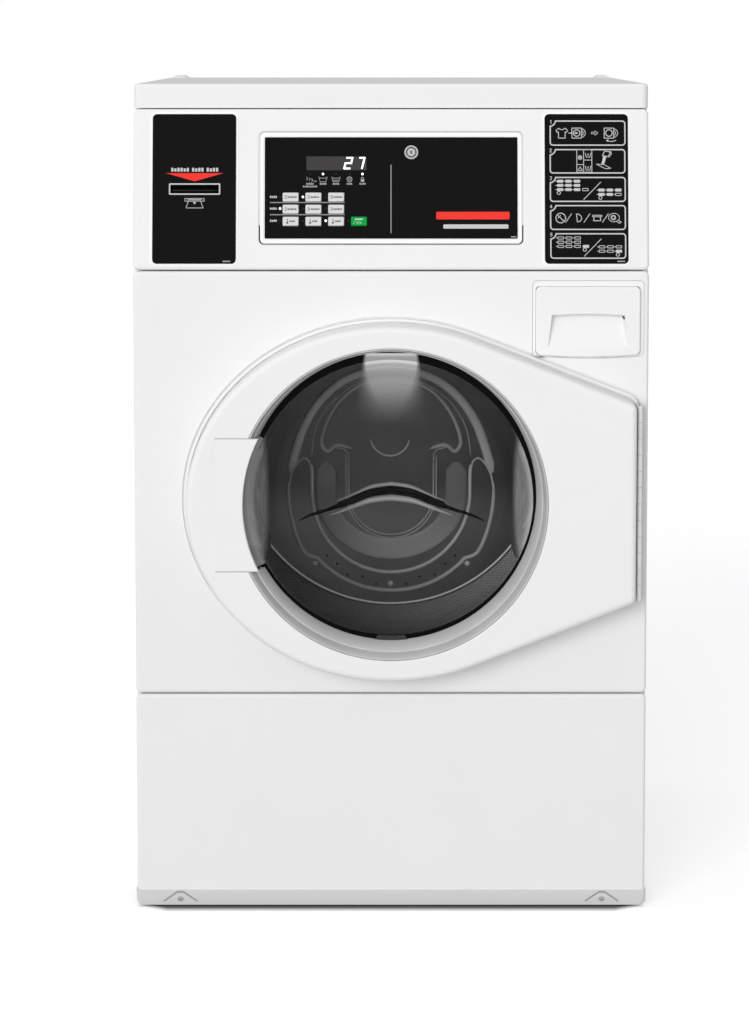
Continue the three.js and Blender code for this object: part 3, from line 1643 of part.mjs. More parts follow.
function bearingRing(front, wide, outer) {
  const { race } = bearing;
  const inner = around(shaft.radius, middleCircle);
  const groove = wide / 5;
  return axisTurn([
    [inner, front],
    [inner + race, front + groove],
    [outer - race, front + groove],
    [outer, front],
    [outer, front + wide],
    [outer - race, front + wide - groove],
    [inner + race, front + wide - groove],
    [inner, front + wide],
  ], middleCircle);
}

function drumPulley() {
  const { radius, rim, wide, y, hub, arms, armWide, armThick, bore } = pulley;
  const ring = axisTurn(ringOutline(radius - rim, radius, y, y + wide));
  const boss = axisTurn(ringOutline(bore, hub, y, y + wide), middleCircle);
  const spokes = [];
  for (let index = 0; index < arms; index += 1) {
    const depths = [y + wide / 2 - armThick / 2, y + wide / 2 + armThick / 2];
    const spoke = box(hub - rim / 2, radius - rim / 2, ...depths, -armWide / 2, armWide / 2);
    spokes.push(spoke.rotateY(2 * Math.PI * index / arms).translate(0, 0, axis.height));
  }
  return join(ring, boss, ...spokes);
}

// Outline of the belt's inner face, grown outwards
function beltOutline(grow) {
  const big = around(pulley.radius, bigCircle) + grow;
  const small = around(motorPulley.radius, smallCircle) + grow;
  const tilt = -Math.asin((big - small) / (axis.height - motor.z));
  const points = [];
  for (let index = 0; index <= belt.steps; index += 1) {
    const angle = tilt + (Math.PI - 2 * tilt) * index / belt.steps;
    points.push([big * Math.cos(angle), axis.height + big * Math.sin(angle)]);
  }
  const few = belt.steps / 2;
  for (let index = 0; index <= few; index += 1) {
    const angle = Math.PI - tilt + (Math.PI + 2 * tilt) * index / few;
    points.push([small * Math.cos(angle), motor.z + small * Math.sin(angle)]);
  }
  return polygon(points);
}

function driveBelt() {
  const front = pulley.y + (pulley.wide - belt.wide) / 2;
  const outer = frontPrism(beltOutline(belt.thick), front, front + belt.wide);
  return cut(outer, frontPrism(beltOutline(0), front - overrun, front + belt.wide + overrun));
}

// Motor: stator with two end caps and the two brackets that hang it from the tub
function motorBody() {
  const { z, radius, front, rear, cap, capThick, boreGap } = motor;
  const stator = revolveY([
    [0, front],
    [cap, front],
    [radius, front + capThick],
    [radius, rear - capThick],
    [cap, rear],
    [0, rear],
  ], 0, z, middleCircle);
  const brackets = [carrier.frontY, carrier.rearY].map((y) => {
    const top = carrier.low - seat;
    const foot = [[-carrier.neck, z], [carrier.neck, z]];
    const outline = polygon([...foot, [carrier.half, top], [-carrier.half, top]]);
    return frontPrism(outline, y - carrier.thick / 2, y + carrier.thick / 2);
  });
  const boreRadius = motor.shaft + boreGap;
  const bore = rodY(0, z, boreRadius, motorPulley.shaftFront - boreGap, rear + overrun);
  return cut(join(stator, ...brackets), bore);
}

function motorPulleyShape() {
  const { radius, flange, shaftFront, shaftRear } = motorPulley;
  const edge = (pulley.wide - belt.wide) / 2 - seat * 2;
  const front = pulley.y;
  const rear = pulley.y + pulley.wide;
  return revolveY([
    [0, shaftFront],
    [motor.shaft, shaftFront],
    [motor.shaft, front],
    [flange, front],
    [flange, front + edge],
    [radius, front + edge],
    [radius, rear - edge],
    [flange, rear - edge],
    [flange, rear],
    [motor.shaft, rear],
    [motor.shaft, shaftRear],
    [0, shaftRear],
  ], 0, motor.z, smallCircle);
}

add('cabinet_wrap', cabinetWrap(), whitePaint);
add('rear_panel', rearPanel(), zinc);
add('base_frame', baseFrame(), zinc);
add('top_panel', topPanel(), whitePaint);
add('front_panel', frontPanel(), whitePaint);
add('lower_front_panel', lowerFrontPanel(), whitePaint);
add('control_panel', controlPanel(), whitePaint);
add('card_plate', cardPlateShape(), blackFilm, slope);
add('card_reader', cardReader(), blackFilm, slope);
add('instruction_plate', flatPlate(instruction.left, instruction.right), blackFilm, slope);
add('dispenser_housing', dispenserHousing(), whitePlastic);
add('dispenser_drawer', dispenserDrawer(), whitePlastic);
add('water_valve', waterValve(), whitePlastic);
add('door_lock', doorLock(), castBlack);
add('door_gasket', doorGasket(), rubber);
add('drain_pump', drainPump(), castBlack);
add('drain_hose', drainHose(), rubber);
[[-1, 'left'], [1, 'right']].forEach(([side, name]) => {
  add(`damper_tube_${name}`, damperTube(side), zinc);
  add(`damper_rod_${name}`, damperRod(side), zinc);
  add(`spring_${name}`, coilSpring(side), zinc);
});
footPlaces().forEach(([x, y], index) => add(`foot_${index + 1}`, levellingFoot(x, y), rubber));

add('service_door', serviceDoor(), whitePaint, slope);
add('control_overlay', controlOverlay(), blackFilm, slope);
add('control_board', controlBoard(), boardGreen, slope);
add('lock_cylinder', lockCylinder(), zinc, slope);
keyPlaces().forEach((place, index, places) => {
  const isStart = index === places.length - 1;
  add(isStart ? 'start_key' : `key_${index + 1}`, keyCap(place), isStart ? green : keyGrey, slope);
});

add('door_frame', doorFrame(), whitePlastic);
add('door_liner', doorLiner(), whitePlastic);
add('window_trim', windowTrim(), silver);
add('door_glass', doorGlass(), darkGlass);
add('door_handle', doorHandle(), whitePlastic);
add('door_strike', doorStrike(), zinc);
add('door_hinge_leaf', doorHingeLeaf(), greyPaint);
add('cabinet_hinge_leaf', cabinetHingeLeaf(), greyPaint);

add('tub_front', tubFront(), tubPlastic);
add('tub_rear', tubRear(), tubPlastic);
add('counterweight', counterweightBlock(), concrete);
add('motor', motorBody(), castBlack);
add('drive_belt', driveBelt(), rubber);
add('bearing_front', bearingRing(bearing.frontY, bearing.frontWide, bearing.frontRadius), stainless);
add('bearing_rear', bearingRing(bearing.rearY, bearing.rearWide, bearing.rearRadius), stainless);
add('drum_basket', drumBasket(), stainless);
add('drum_shaft', drumShaft(), aluminium);
add('drum_pulley', drumPulley(), aluminium);
add('motor_pulley', motorPulleyShape(), zinc);

// The origin is the middle of the footprint, on the floor
const extent = new THREE.Box3().setFromObject(machine);
machine.position.y = -(extent.min.y + extent.max.y) / 2;
console.log(`shift along y ${machine.position.y.toFixed(3)} mm`);

export default machine;
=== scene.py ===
import json
import math

import bmesh
import bpy
import numpy as np
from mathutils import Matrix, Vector
from mathutils.geometry import tessellate_polygon


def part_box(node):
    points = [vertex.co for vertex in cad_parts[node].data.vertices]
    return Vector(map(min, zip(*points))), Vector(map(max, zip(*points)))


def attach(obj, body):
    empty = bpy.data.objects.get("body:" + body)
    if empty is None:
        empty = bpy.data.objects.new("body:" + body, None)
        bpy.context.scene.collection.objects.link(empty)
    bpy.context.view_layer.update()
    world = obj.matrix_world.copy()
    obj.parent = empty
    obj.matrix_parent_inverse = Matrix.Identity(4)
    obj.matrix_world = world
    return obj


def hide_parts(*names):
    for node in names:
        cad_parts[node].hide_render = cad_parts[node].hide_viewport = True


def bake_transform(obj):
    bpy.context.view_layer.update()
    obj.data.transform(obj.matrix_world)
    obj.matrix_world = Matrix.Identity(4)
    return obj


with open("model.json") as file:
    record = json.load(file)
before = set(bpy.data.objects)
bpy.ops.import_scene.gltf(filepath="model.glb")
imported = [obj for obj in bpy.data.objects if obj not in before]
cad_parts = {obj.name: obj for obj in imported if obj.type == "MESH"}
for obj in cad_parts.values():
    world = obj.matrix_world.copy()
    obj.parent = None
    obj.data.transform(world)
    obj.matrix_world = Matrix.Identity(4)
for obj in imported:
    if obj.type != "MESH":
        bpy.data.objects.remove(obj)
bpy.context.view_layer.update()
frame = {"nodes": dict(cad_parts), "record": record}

# Lengths are written in millimetres, with y = 0 at the face of the front panel, z = 0 on the floor
# and x = 0 in the middle. The plateau round the door stands 6 mm proud of that face.
PLATEAU_RISE = 6
FACE_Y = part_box("front_panel")[0].y * 1000 + PLATEAU_RISE

# Half the machine's width, and the height of the axis of the door and the drum
HALF, AXIS = 341.5, 557

# The control panel leans back 35 mm over its height of 211.7 mm, from its foot up
LEAN, SLOPE_FOOT = math.atan2(35, 211.7), 862.7

# The drum's radius, and the distance from hole to hole in its wall
DRUM_RADIUS, HOLE_PITCH = 264, 4.2


# Shader maths

class Value:
    """A node output. Sums, products and comparisons on it add Math nodes."""

    def __init__(self, finish, link):
        self.finish = finish
        self.link = link

    def work(self, operation, first, second=0.5, clamp=False):
        settings = {"operation": operation, "use_clamp": clamp}
        return self.finish.node("ShaderNodeMath", settings, {0: first, 1: second})

    def __add__(self, other):
        return self.work("ADD", self, other)

    def __radd__(self, other):
        return self.work("ADD", other, self)

    def __sub__(self, other):
        return self.work("SUBTRACT", self, other)

    def __rsub__(self, other):
        return self.work("SUBTRACT", other, self)

    def __mul__(self, other):
        return self.work("MULTIPLY", self, other)

    def __rmul__(self, other):
        return self.work("MULTIPLY", other, self)

    def __truediv__(self, other):
        return self.work("DIVIDE", self, other)

    def __pow__(self, other):
        return self.work("POWER", self, other)

    def __lt__(self, other):
        return self.work("LESS_THAN", self, other)

    def clamped(self):
        return self.work("ADD", self, 0, clamp=True)

    def absolute(self):
        return self.work("ABSOLUTE", self)

    def largest(self, other):
        return self.work("MAXIMUM", self, other)


class Finish:
    """A material of this machine, built from nodes round one Principled shader."""

    def __init__(self, name):
        self.material = bpy.data.materials.new(name)
        self.material.use_nodes = True
        self.tree = self.material.node_tree
        self.shader = self.tree.nodes["Principled BSDF"]
        self.output = self.tree.nodes["Material Output"]

    def node(self, kind, settings=None, values=None, output=0):
        made = self.tree.nodes.new(kind)
        for key, setting in (settings or {}).items():
            setattr(made, key, setting)
        for key, value in (values or {}).items():
            self.feed(made.inputs[key], value)
        return Value(self, made.outputs[output])

    def feed(self, socket, value):
        if isinstance(value, Value):
            self.tree.links.new(value.link, socket)
        else:
            socket.default_value = value

    def place(self, scale=(1, 1, 1)):
        """Object coordinates in millimetres, stretched along the three axes."""
        where = self.node("ShaderNodeTexCoord", output="Object")
        size = tuple(1000 * share for share in scale)
        return self.node("ShaderNodeVectorMath", {"operation": "MULTIPLY"}, {0: where, 1: size})

    def axes(self):
        """The three object coordinates in millimetres."""
        split = self.node("ShaderNodeSeparateXYZ", None, {0: self.place()})
        return [Value(self, output) for output in split.link.node.outputs]

    def noise(self, size, detail=2, rough=0.5, stretch=(1, 1, 1)):
        values = {"Vector": self.place(stretch), "Scale": 1 / size, "Detail": detail, "Roughness": rough}
        return self.node("ShaderNodeTexNoise", None, values)

    def mix(self, factor, first, second):
        settings = {"data_type": "RGBA"}
        return self.node("ShaderNodeMix", settings, {0: factor, 6: first, 7: second}, output=2)

    def bump(self, height, depth):
        """Height from 0 to 1, over a depth in millimetres."""
        return self.node("ShaderNodeBump", None, {"Height": height, "Distance": depth / 1000, "Strength": 1.0})

    def paint(self, **sockets):
        for name, value in sockets.items():
            self.feed(self.shader.inputs[name.replace("_", " ").title().replace("Ior", "IOR")], value)
        return self


def shade(*levels):
    """Linear colour from 0..255 screen levels."""
    def linear(level):
        level /= 255
        return level / 12.92 if level <= 0.04045 else ((level + 0.055) / 1.055) ** 2.4
    levels = levels * 3 if len(levels) == 1 else levels
    return (*[linear(level) for level in levels], 1)


# Finishes

def enamel(name, level, rough=0.32, gloss=1):
    """Stove enamel on sheet steel: a faint orange peel and a faint cloudiness."""
    finish = Finish(name)
    cloud = finish.noise(90, 3)
    peel = finish.noise(1.6, 2)
    colour = finish.mix(cloud, shade(level - 2), shade(level + 1))
    finish.paint(base_color=colour, roughness=rough + 0.06 * cloud, normal=finish.bump(peel, 0.012))
    return finish.paint(coat_weight=0.25 * gloss, coat_roughness=0.12, specular_ior_level=0.5 * gloss)


def moulding(name, levels, rough=0.38, grain=0.6, depth=0.012, shine=0.5):
    """Moulded plastic with a fine eroded grain."""
    finish = Finish(name)
    cloud = finish.noise(60, 2)
    fine = finish.noise(grain, 2, 0.6)
    low = tuple(max(level - 2, 0) for level in levels)
    colour = finish.mix(cloud, shade(*low), shade(*levels))
    finish.paint(base_color=colour, roughness=rough + 0.08 * fine, normal=finish.bump(fine, depth))
    return finish.paint(specular_ior_level=shine)


def printed(name, levels):
    """Flat printing ink."""
    finish = Finish(name)
    speck = finish.noise(0.5, 2)
    low = tuple(level * 0.94 for level in levels)
    finish.paint(base_color=finish.mix(speck, shade(*low), shade(*levels)), roughness=0.4)
    return finish.paint(specular_ior_level=0.1)


def glowing(name, levels, strength):
    """A lamp behind a small window."""
    finish = Finish(name)
    speck = finish.noise(0.8, 1)
    colour = finish.mix(speck, shade(*[level * 0.97 for level in levels]), shade(*levels))
    return finish.paint(base_color=shade(*levels), emission_color=colour, emission_strength=strength)


def metal(name, level, rough=0.3, stretch=(1, 1, 1), grain=0.8, depth=0.01, tint=(0, 0, 0), bare=1.0):
    """Bare metal with a fine drawn or cast grain."""
    finish = Finish(name)
    fine = finish.noise(grain, 3, 0.6, stretch)
    stain = finish.noise(45, 3)
    dark = [level - 14 + shift for shift in tint]
    light = [level + 8 + shift for shift in tint]
    colour = finish.mix(stain, shade(*dark), shade(*light))
    finish.paint(base_color=colour, metallic=bare, roughness=rough + 0.14 * fine)
    return finish.paint(normal=finish.bump(fine, depth))


def steel_painted_lighter_below(name, high, low, start, reach, bare):
    """Steel of the drum's back, with painted light that makes it brighter towards its foot."""
    finish = Finish(name)
    z = finish.axes()[2]
    # painted light: the colour runs brighter towards the foot of the drum, where less light reaches
    painted_light_below = ((AXIS - start - z) / reach).clamped()
    stain = finish.noise(30, 3)
    colour = finish.mix(painted_light_below, shade(high), shade(low))
    return finish.paint(base_color=colour, metallic=bare, roughness=0.42 + 0.12 * stain)


def rubber(name, level):
    """Matt rubber with a faint bloom."""
    finish = Finish(name)
    fine = finish.noise(0.7, 3)
    bloom = finish.noise(30, 3)
    colour = finish.mix(bloom, shade(level - 4), shade(level + 7))
    return finish.paint(base_color=colour, roughness=0.7 + 0.12 * fine, normal=finish.bump(fine, 0.03))


def concrete_cast(name):
    """Cast concrete: coarse patches of grey and a fine rough grain."""
    finish = Finish(name)
    coarse = finish.noise(14, 6, 0.65)
    fine = finish.noise(1.5, 4, 0.7)
    colour = finish.mix(coarse, shade(122, 118, 110), shade(164, 160, 150))
    return finish.paint(base_color=colour, roughness=0.86 + 0.1 * fine, normal=finish.bump(fine, 0.3))


def drum_mesh(name):
    """Steel wall with a close diamond pattern of holes round the axis of the drum."""
    finish = Finish(name)
    x, y, z = finish.axes()
    angle = finish.node("ShaderNodeMath", {"operation": "ARCTAN2"}, {0: z - AXIS, 1: x})
    away = (x * x + (z - AXIS) * (z - AXIS)) ** 0.5
    round_way, along = angle * (DRUM_RADIUS / HOLE_PITCH), (y - away) * (1 / HOLE_PITCH)
    wave = finish.node("ShaderNodeMath", {"operation": "SINE"}, {0: (round_way + along) * math.pi})
    other = finish.node("ShaderNodeMath", {"operation": "SINE"}, {0: (round_way - along) * math.pi})
    holes = (wave.absolute() * other.absolute()) ** 0.8
    colour = finish.mix(holes, shade(212), shade(40))
    return finish.paint(base_color=colour, metallic=0.2, roughness=0.34 + 0.3 * holes,
                        normal=finish.bump(1 - holes, 0.5))


def painted_lamp_reflection(finish):
    """Painted reflection of a ceiling lamp at the top of the door's glass, from 0 to 1."""
    x, _, z = finish.axes()
    rise = z - AXIS
    beam = 1 - (x / (37 + 0.2 * (190 - rise))).absolute()
    reach = ((rise - 88) / 104).clamped()
    return (beam.clamped() * (1.2 + 8 * reach ** 3)).clamped() * reach


def bowl_glass(name):
    """Clear bowl: a dark tint, a painted reflection of a lamp that glows, and a painted pale sheen at both sides."""
    finish = Finish(name)
    x, _, z = finish.axes()
    painted_reflection = painted_lamp_reflection(finish)
    # painted sheen: pale bands at both sides of the bowl stand for reflections on its side walls
    side = ((x.absolute() - 163) / 7).clamped() * (1 - ((z - AXIS - 4).absolute() - 62) / 34).clamped()
    cloud = finish.noise(40, 2)
    alpha = (0.07 + 0.05 * cloud + 0.85 * painted_reflection + 0.38 * side).clamped()
    colour = finish.mix((painted_reflection + side).clamped(), shade(30), shade(200))
    # painted reflection: the lamp's mirror image is painted in as colour, opacity and glow
    finish.paint(emission_color=finish.mix(painted_reflection, shade(0), shade(136)), emission_strength=1.0)
    return finish.paint(base_color=colour, roughness=0.04 + 0.04 * cloud, alpha=alpha)


def glass_border(name):
    """Black border of the glass, with the painted reflection of the lamp running on to it as a painted glow."""
    finish = Finish(name)
    rise = finish.axes()[2] - AXIS
    painted_reflection = painted_lamp_reflection(finish) * (rise < 197) * (0.5 + 0.42 * ((rise - 192) / 4).clamped())
    speck = finish.noise(0.6, 1)
    # painted reflection: the lamp's mirror image glows on the black border
    finish.paint(emission_color=finish.mix(painted_reflection, shade(0), shade(212)), emission_strength=1.0)
    return finish.paint(base_color=finish.mix(speck, shade(7), shade(11)), roughness=0.4, specular_ior_level=0.04)


def lit_edge(name):
    """Pressed edge as bright steel with a faint painted glow: a painted highlight where the edge catches the room's
    light.
    """
    finish = Finish(name)
    fine = finish.noise(0.6, 3, 0.6)
    finish.paint(base_color=finish.mix(fine, shade(236), shade(246)), metallic=0.3, roughness=0.3 + 0.1 * fine)
    # painted highlight: a faint glow, though the edge is no lamp
    return finish.paint(emission_color=shade(255), emission_strength=0.08)


ENAMEL = enamel("white_stove_enamel", 238)
DRUM_MESH = drum_mesh("perforated_drum_steel")
BOWL_GLASS = bowl_glass("door_bowl_glass")
LIT_EDGE = lit_edge("lit_pressed_edge")
TOP_ENAMEL = enamel("white_cover_enamel", 238, 0.6, 0)
# Toe strip, bosses and ridges are one white enamel in painted light and shade: the strip painted darker for its
# downward slant, the bosses lighter for their upright faces, the ridges darker as a painted shadow line along the
# bosses' roofs
TOE_ENAMEL = enamel("toe_strip_enamel", 223)
TOE_BOSS_ENAMEL = enamel("toe_boss_enamel", 244)
TOE_RIDGE_SHADE = enamel("toe_ridge_painted_shade", 158)
DOOR_WHITE = moulding("white_door_face_moulding", (240, 240, 240), 0.36, 0.5, 0.006)
# Brighter than the panel's enamel: on the rims round the black plates this is a painted highlight of their raised edge
FLAP_WHITE = enamel("flap_border_enamel", 252, 0.3)
MOULDED_WHITE = moulding("white_door_moulding", (240, 240, 240))
DRAWER_WHITE = moulding("white_drawer_moulding", (240, 240, 240))
SILVER = metal("silver_trim_paint", 220, 0.4, grain=0.4, depth=0.004, bare=0.25)
SILVER_OUTER = metal("silver_rim_paint", 212, 0.4, grain=0.4, depth=0.004, bare=0.25)
BLACK_FILM = moulding("black_printed_film", (15, 15, 15), 0.34, 0.4, 0.004, 0.06)
GLASS_BORDER = glass_border("black_glass_border")
# painted reflection: near-black for the dark arch over the drum's back
DEEP_SHADE = moulding("painted_arch_shade", (9, 9, 9), 0.5, 0.5, 0.002, 0.04)
KEY_GREY = moulding("light_grey_keys", (218, 218, 218), 0.45, 0.5, 0.01, 0.2)
KEY_GREEN = moulding("green_start_key", (18, 160, 68), 0.5, 0.5, 0.01, 0.08)
INK_WHITE = printed("white_ink", (226, 226, 226))
INK_GREY = printed("grey_ink", (150, 150, 150))
INK_FRAME = printed("frame_ink", (206, 206, 206))
INK_ICON = printed("icon_ink", (176, 176, 176))
INK_DARK = printed("dark_key_ink", (96, 96, 96))
INK_RED = printed("red_ink", (248, 62, 54))
WINDOW_SMOKE = moulding("smoked_display_window", (67, 65, 66), 0.3, 0.6, 0.002, 0.06)
DIM_LAMP = moulding("unlit_indicator", (44, 42, 42), 0.3, 0.6, 0.002, 0.06)
DIGIT_GLOW = glowing("lit_digits", (255, 255, 255), 1.0)
LAMP_GLOW = glowing("lit_indicator", (255, 255, 255), 1.0)
CHROME = metal("lock_chrome", 200, 0.26, grain=0.6, depth=0.003, bare=0.8)
ZINC = metal("zinc_plate", 172, 0.32, tint=(0, 2, 4))
# The beads, lip and rivets of the drum are painted far brighter than the back they are pressed from: painted
# highlights on raised steel
BRIGHT_STEEL = metal("bright_pressed_edge", 238, 0.34, grain=0.6, depth=0.003, bare=0.4)
BEAD_STEEL = metal("pressed_bead_steel", 224, 0.45, grain=0.6, depth=0.003, bare=0.4)
DRUM_BACK = steel_painted_lighter_below("drum_back_steel", 103, 152, 45, 60, 1.0)
BROAD_STEEL = steel_painted_lighter_below("broad_pressing_steel", 138, 206, 70, 90, 0.4)
STAINLESS = metal("drum_stainless", 150, 0.3, (0.06, 1, 1), 0.8, 0.006)
ALUMINIUM = metal("cast_aluminium_grain", 168, 0.5, grain=1.2, depth=0.06)
GREY_RUBBER = rubber("bellows_rubber", 58)
BLACK_RUBBER = rubber("belt_and_foot_rubber", 34)
TUB_PAINT = moulding("grey_tub_coat", (138, 142, 146), 0.5, 1.4, 0.03)
MOTOR_PAINT = moulding("black_motor_coat", (38, 38, 40), 0.5, 1.2, 0.03)
BLACK_MOULDING = moulding("black_housing_moulding", (30, 30, 31), 0.45, 0.8, 0.02)
BOARD = moulding("green_circuit_board", (30, 92, 52), 0.4, 0.9, 0.02)
CONCRETE = concrete_cast("cast_counterweight")
HINGE_GREY = metal("grey_hinge_steel", 226, 0.45, bare=0.2)


# Forms

def spot(x, y, z):
    """A point of the front frame, in metres in the frame of the part."""
    return Vector((x, y + FACE_Y, z)) / 1000


def on_slope(x, y, z):
    """A point of the leaning control panel: y out of its face, z up along it."""
    along, out = math.sin(LEAN), math.cos(LEAN)
    return spot(x, y * out + z * along, SLOPE_FOOT - y * along + z * out)


def full_turn(count):
    return np.linspace(0, 2 * math.pi, count, endpoint=False)


def in_scene(name, data):
    made = bpy.data.objects.new(name, data)
    bpy.context.scene.collection.objects.link(made)
    return made


class Form:
    """Corners and faces of one piece, gathered loop by loop."""

    def __init__(self, where=spot):
        self.corners = []
        self.faces = []
        self.where = where

    def loop(self, points):
        start = len(self.corners)
        self.corners += [tuple(point) for point in points]
        return list(range(start, len(self.corners)))

    def flat(self, points, depth):
        """A loop of points (x, z) at one depth."""
        return self.loop([(x, depth, z) for x, z in points])

    def level(self, points, height):
        """A loop of points (x, y) at one height."""
        return self.loop([(x, y, height) for x, y in points])

    def band(self, first, second, closed=True):
        count = len(first)
        for index in range(count if closed else count - 1):
            after = (index + 1) % count
            self.faces.append((first[index], first[after], second[after], second[index]))

    def bands(self, loops, closed=True):
        for first, second in zip(loops, loops[1:]):
            self.band(first, second, closed)
        return loops

    def cap(self, outer, *holes):
        """A face on the outer loop, open where the hole loops are."""
        rings = [[Vector(self.corners[index]) for index in ring] for ring in (outer, *holes)]
        names = [index for ring in (outer, *holes) for index in ring]
        for triangle in tessellate_polygon(rings):
            self.faces.append(tuple(names[index] for index in triangle))

    def chain(self, outline, profile):
        """Loops of one outline, each at an inset and a depth. Returns the loops."""
        return self.bands([self.flat(outline(inset), depth) for inset, depth in profile])

    def stack(self, outline, profile):
        """Loops of one outline seen from above, each at an inset and a height."""
        return self.bands([self.level(outline(inset), height) for inset, height in profile])

    def rod(self, rows, closed=True):
        """Bands along the rows, with a face at each end."""
        self.bands(rows, closed)
        self.cap(rows[0])
        self.cap(rows[-1])

    def tube(self, loops, closed=True):
        """Bands from each loop to the next and back to the first; open loops get a face at each end."""
        self.bands([*loops, loops[0]], closed)
        if not closed:
            self.ends(loops)

    def ends(self, rows):
        """A face across the first corners of the rows, and one across the last."""
        for end in (0, -1):
            self.cap([row[end] for row in rows])

    def block(self, x0, x1, y0, y1, z0, z1):
        low, high = (self.level([(x0, y0), (x1, y0), (x1, y1), (x0, y1)], z) for z in (z0, z1))
        self.band(low, high)
        self.faces += [tuple(reversed(low)), tuple(high)]

    def mesh(self, name, angle, outward):
        """The faces as a mesh without doubled corners, turned so that its broadest outer face looks outward."""
        mesh = bpy.data.meshes.new(name)
        mesh.from_pydata([self.where(*corner) for corner in self.corners], [], self.faces)
        tidy = bmesh.new()
        tidy.from_mesh(mesh)
        bmesh.ops.remove_doubles(tidy, verts=tidy.verts, dist=1e-6)
        bmesh.ops.dissolve_degenerate(tidy, edges=tidy.edges, dist=1e-7)
        bmesh.ops.recalc_face_normals(tidy, faces=tidy.faces)
        if outward is not None:
            towards = Vector(outward)
            main = max(tidy.faces, key=lambda face: face.calc_area() * abs(face.normal.dot(towards)))
            if main.normal.dot(towards) < 0:
                bmesh.ops.reverse_faces(tidy, faces=tidy.faces)
        tidy.to_mesh(mesh)
        tidy.free()
        mesh.shade_smooth()
        mesh.set_sharp_from_angle(angle=math.radians(angle))
        return mesh

    def piece(self, name, finish, body, slot, replaces=(), angle=32, wall=0, outward=None):
        """The piece in the scene. Edges over the angle are sharp, and wall is the thickness of a sheet."""
        mesh = self.mesh(name, angle, outward)
        mesh.materials.append(finish.material)
        made = in_scene(name, mesh)
        if wall:
            solid = made.modifiers.new("sheet_thickness", "SOLIDIFY")
            solid.thickness = wall / 1000
            solid.offset = -1
            whole = made.evaluated_get(bpy.context.evaluated_depsgraph_get())
            made.data = bpy.data.meshes.new_from_object(whole)
            made.modifiers.clear()
            made.data.set_sharp_from_angle(angle=math.radians(angle))
        if replaces:
            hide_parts(*replaces)
        if body:
            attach(made, body)
        return made


def arc(centre_u, centre_v, radius, start, end, steps):
    """Points of a circle's part, from one angle to another in degrees."""
    turns = np.radians(np.linspace(start, end, steps + 1))
    return [(centre_u + radius * math.cos(turn), centre_v + radius * math.sin(turn)) for turn in turns]


def rounded(left, right, low, high, corner, steps=8):
    """A rounded rectangle as a function of its inset."""
    def outline(inset=0):
        bend = max(corner - inset, 0.05)
        a, b, c, d = left + inset + bend, right - inset - bend, low + inset + bend, high - inset - bend
        return [
            *arc(b, c, bend, -90, 0, steps),
            *arc(b, d, bend, 0, 90, steps),
            *arc(a, d, bend, 90, 180, steps),
            *arc(a, c, bend, 180, 270, steps),
        ]
    return outline


def about(x, z, half_wide, half_high, corner, steps):
    """A rounded rectangle about a middle, as a function of its inset."""
    return rounded(x - half_wide, x + half_wide, z - half_high, z + half_high, corner, steps)


def edge_round(radius, depth, steps):
    """Inset and depth of a rounded front edge: from the side wall to the face, then a narrow flat rim."""
    turns = np.linspace(0, math.pi / 2, steps + 1)
    rim = (radius + 0.8, depth)
    return [*[(radius * (1 - math.cos(turn)), depth + radius * (1 - math.sin(turn))) for turn in turns], rim]


def circle(radius, x=0, z=AXIS, count=160):
    def outline(inset=0):
        return [(x + (radius - inset) * math.cos(turn), z + (radius - inset) * math.sin(turn))
                for turn in full_turn(count)]
    return outline


def spun(form, profile, count, closed, place):
    """Rings from a list of radius and level, each corner put in its place."""
    turns = full_turn(count)
    loops = []
    for radius, level in profile:
        if radius < 0.01:
            loops.append(form.loop([place(0, 0, level)]) * count)
        else:
            loops.append(form.loop([place(radius * math.cos(t), radius * math.sin(t), level) for t in turns]))
    form.bands(loops)
    if closed:
        form.band(loops[-1], loops[0])
    return loops


def turned(form, profile, x=0, z=AXIS, count=128, closed=False):
    """Rings about a line along y at (x, z), from a list of radius and depth."""
    return spun(form, profile, count, closed, lambda u, v, depth: (x + u, depth, z + v))


def raised(form, profile, x, y, count=48, closed=False):
    """Rings about an upright line at (x, y), from a list of radius and height."""
    return spun(form, profile, count, closed, lambda u, v, height: (x + u, y + v, height))


def tidy_faces(form):
    """Drops the doubled corners that a ring of one point leaves."""
    faces = [tuple(dict.fromkeys(face)) for face in form.faces]
    form.faces = [face for face in faces if len(face) > 2]
    return form


# Cabinet

# Sheet steel, the radius of a panel's edge and of its corners
SHEET, PANEL_EDGE, PANEL_CORNER = 1.5, 4.5, 7

# Heights of the seams under and over the front panel, and their width
SEAM_LOW, SEAM_HIGH, GAP = 293.8, 861.9, 1.6

# The door is an ellipse on the left that runs straight to its edge at the hinge
DOOR_HALF_WIDTH, DOOR_HALF_HEIGHT = 270, 235.6
DOOR_EDGE, DOOR_HINGE_HALF, DOOR_CORNER = 322.6, 131, 8


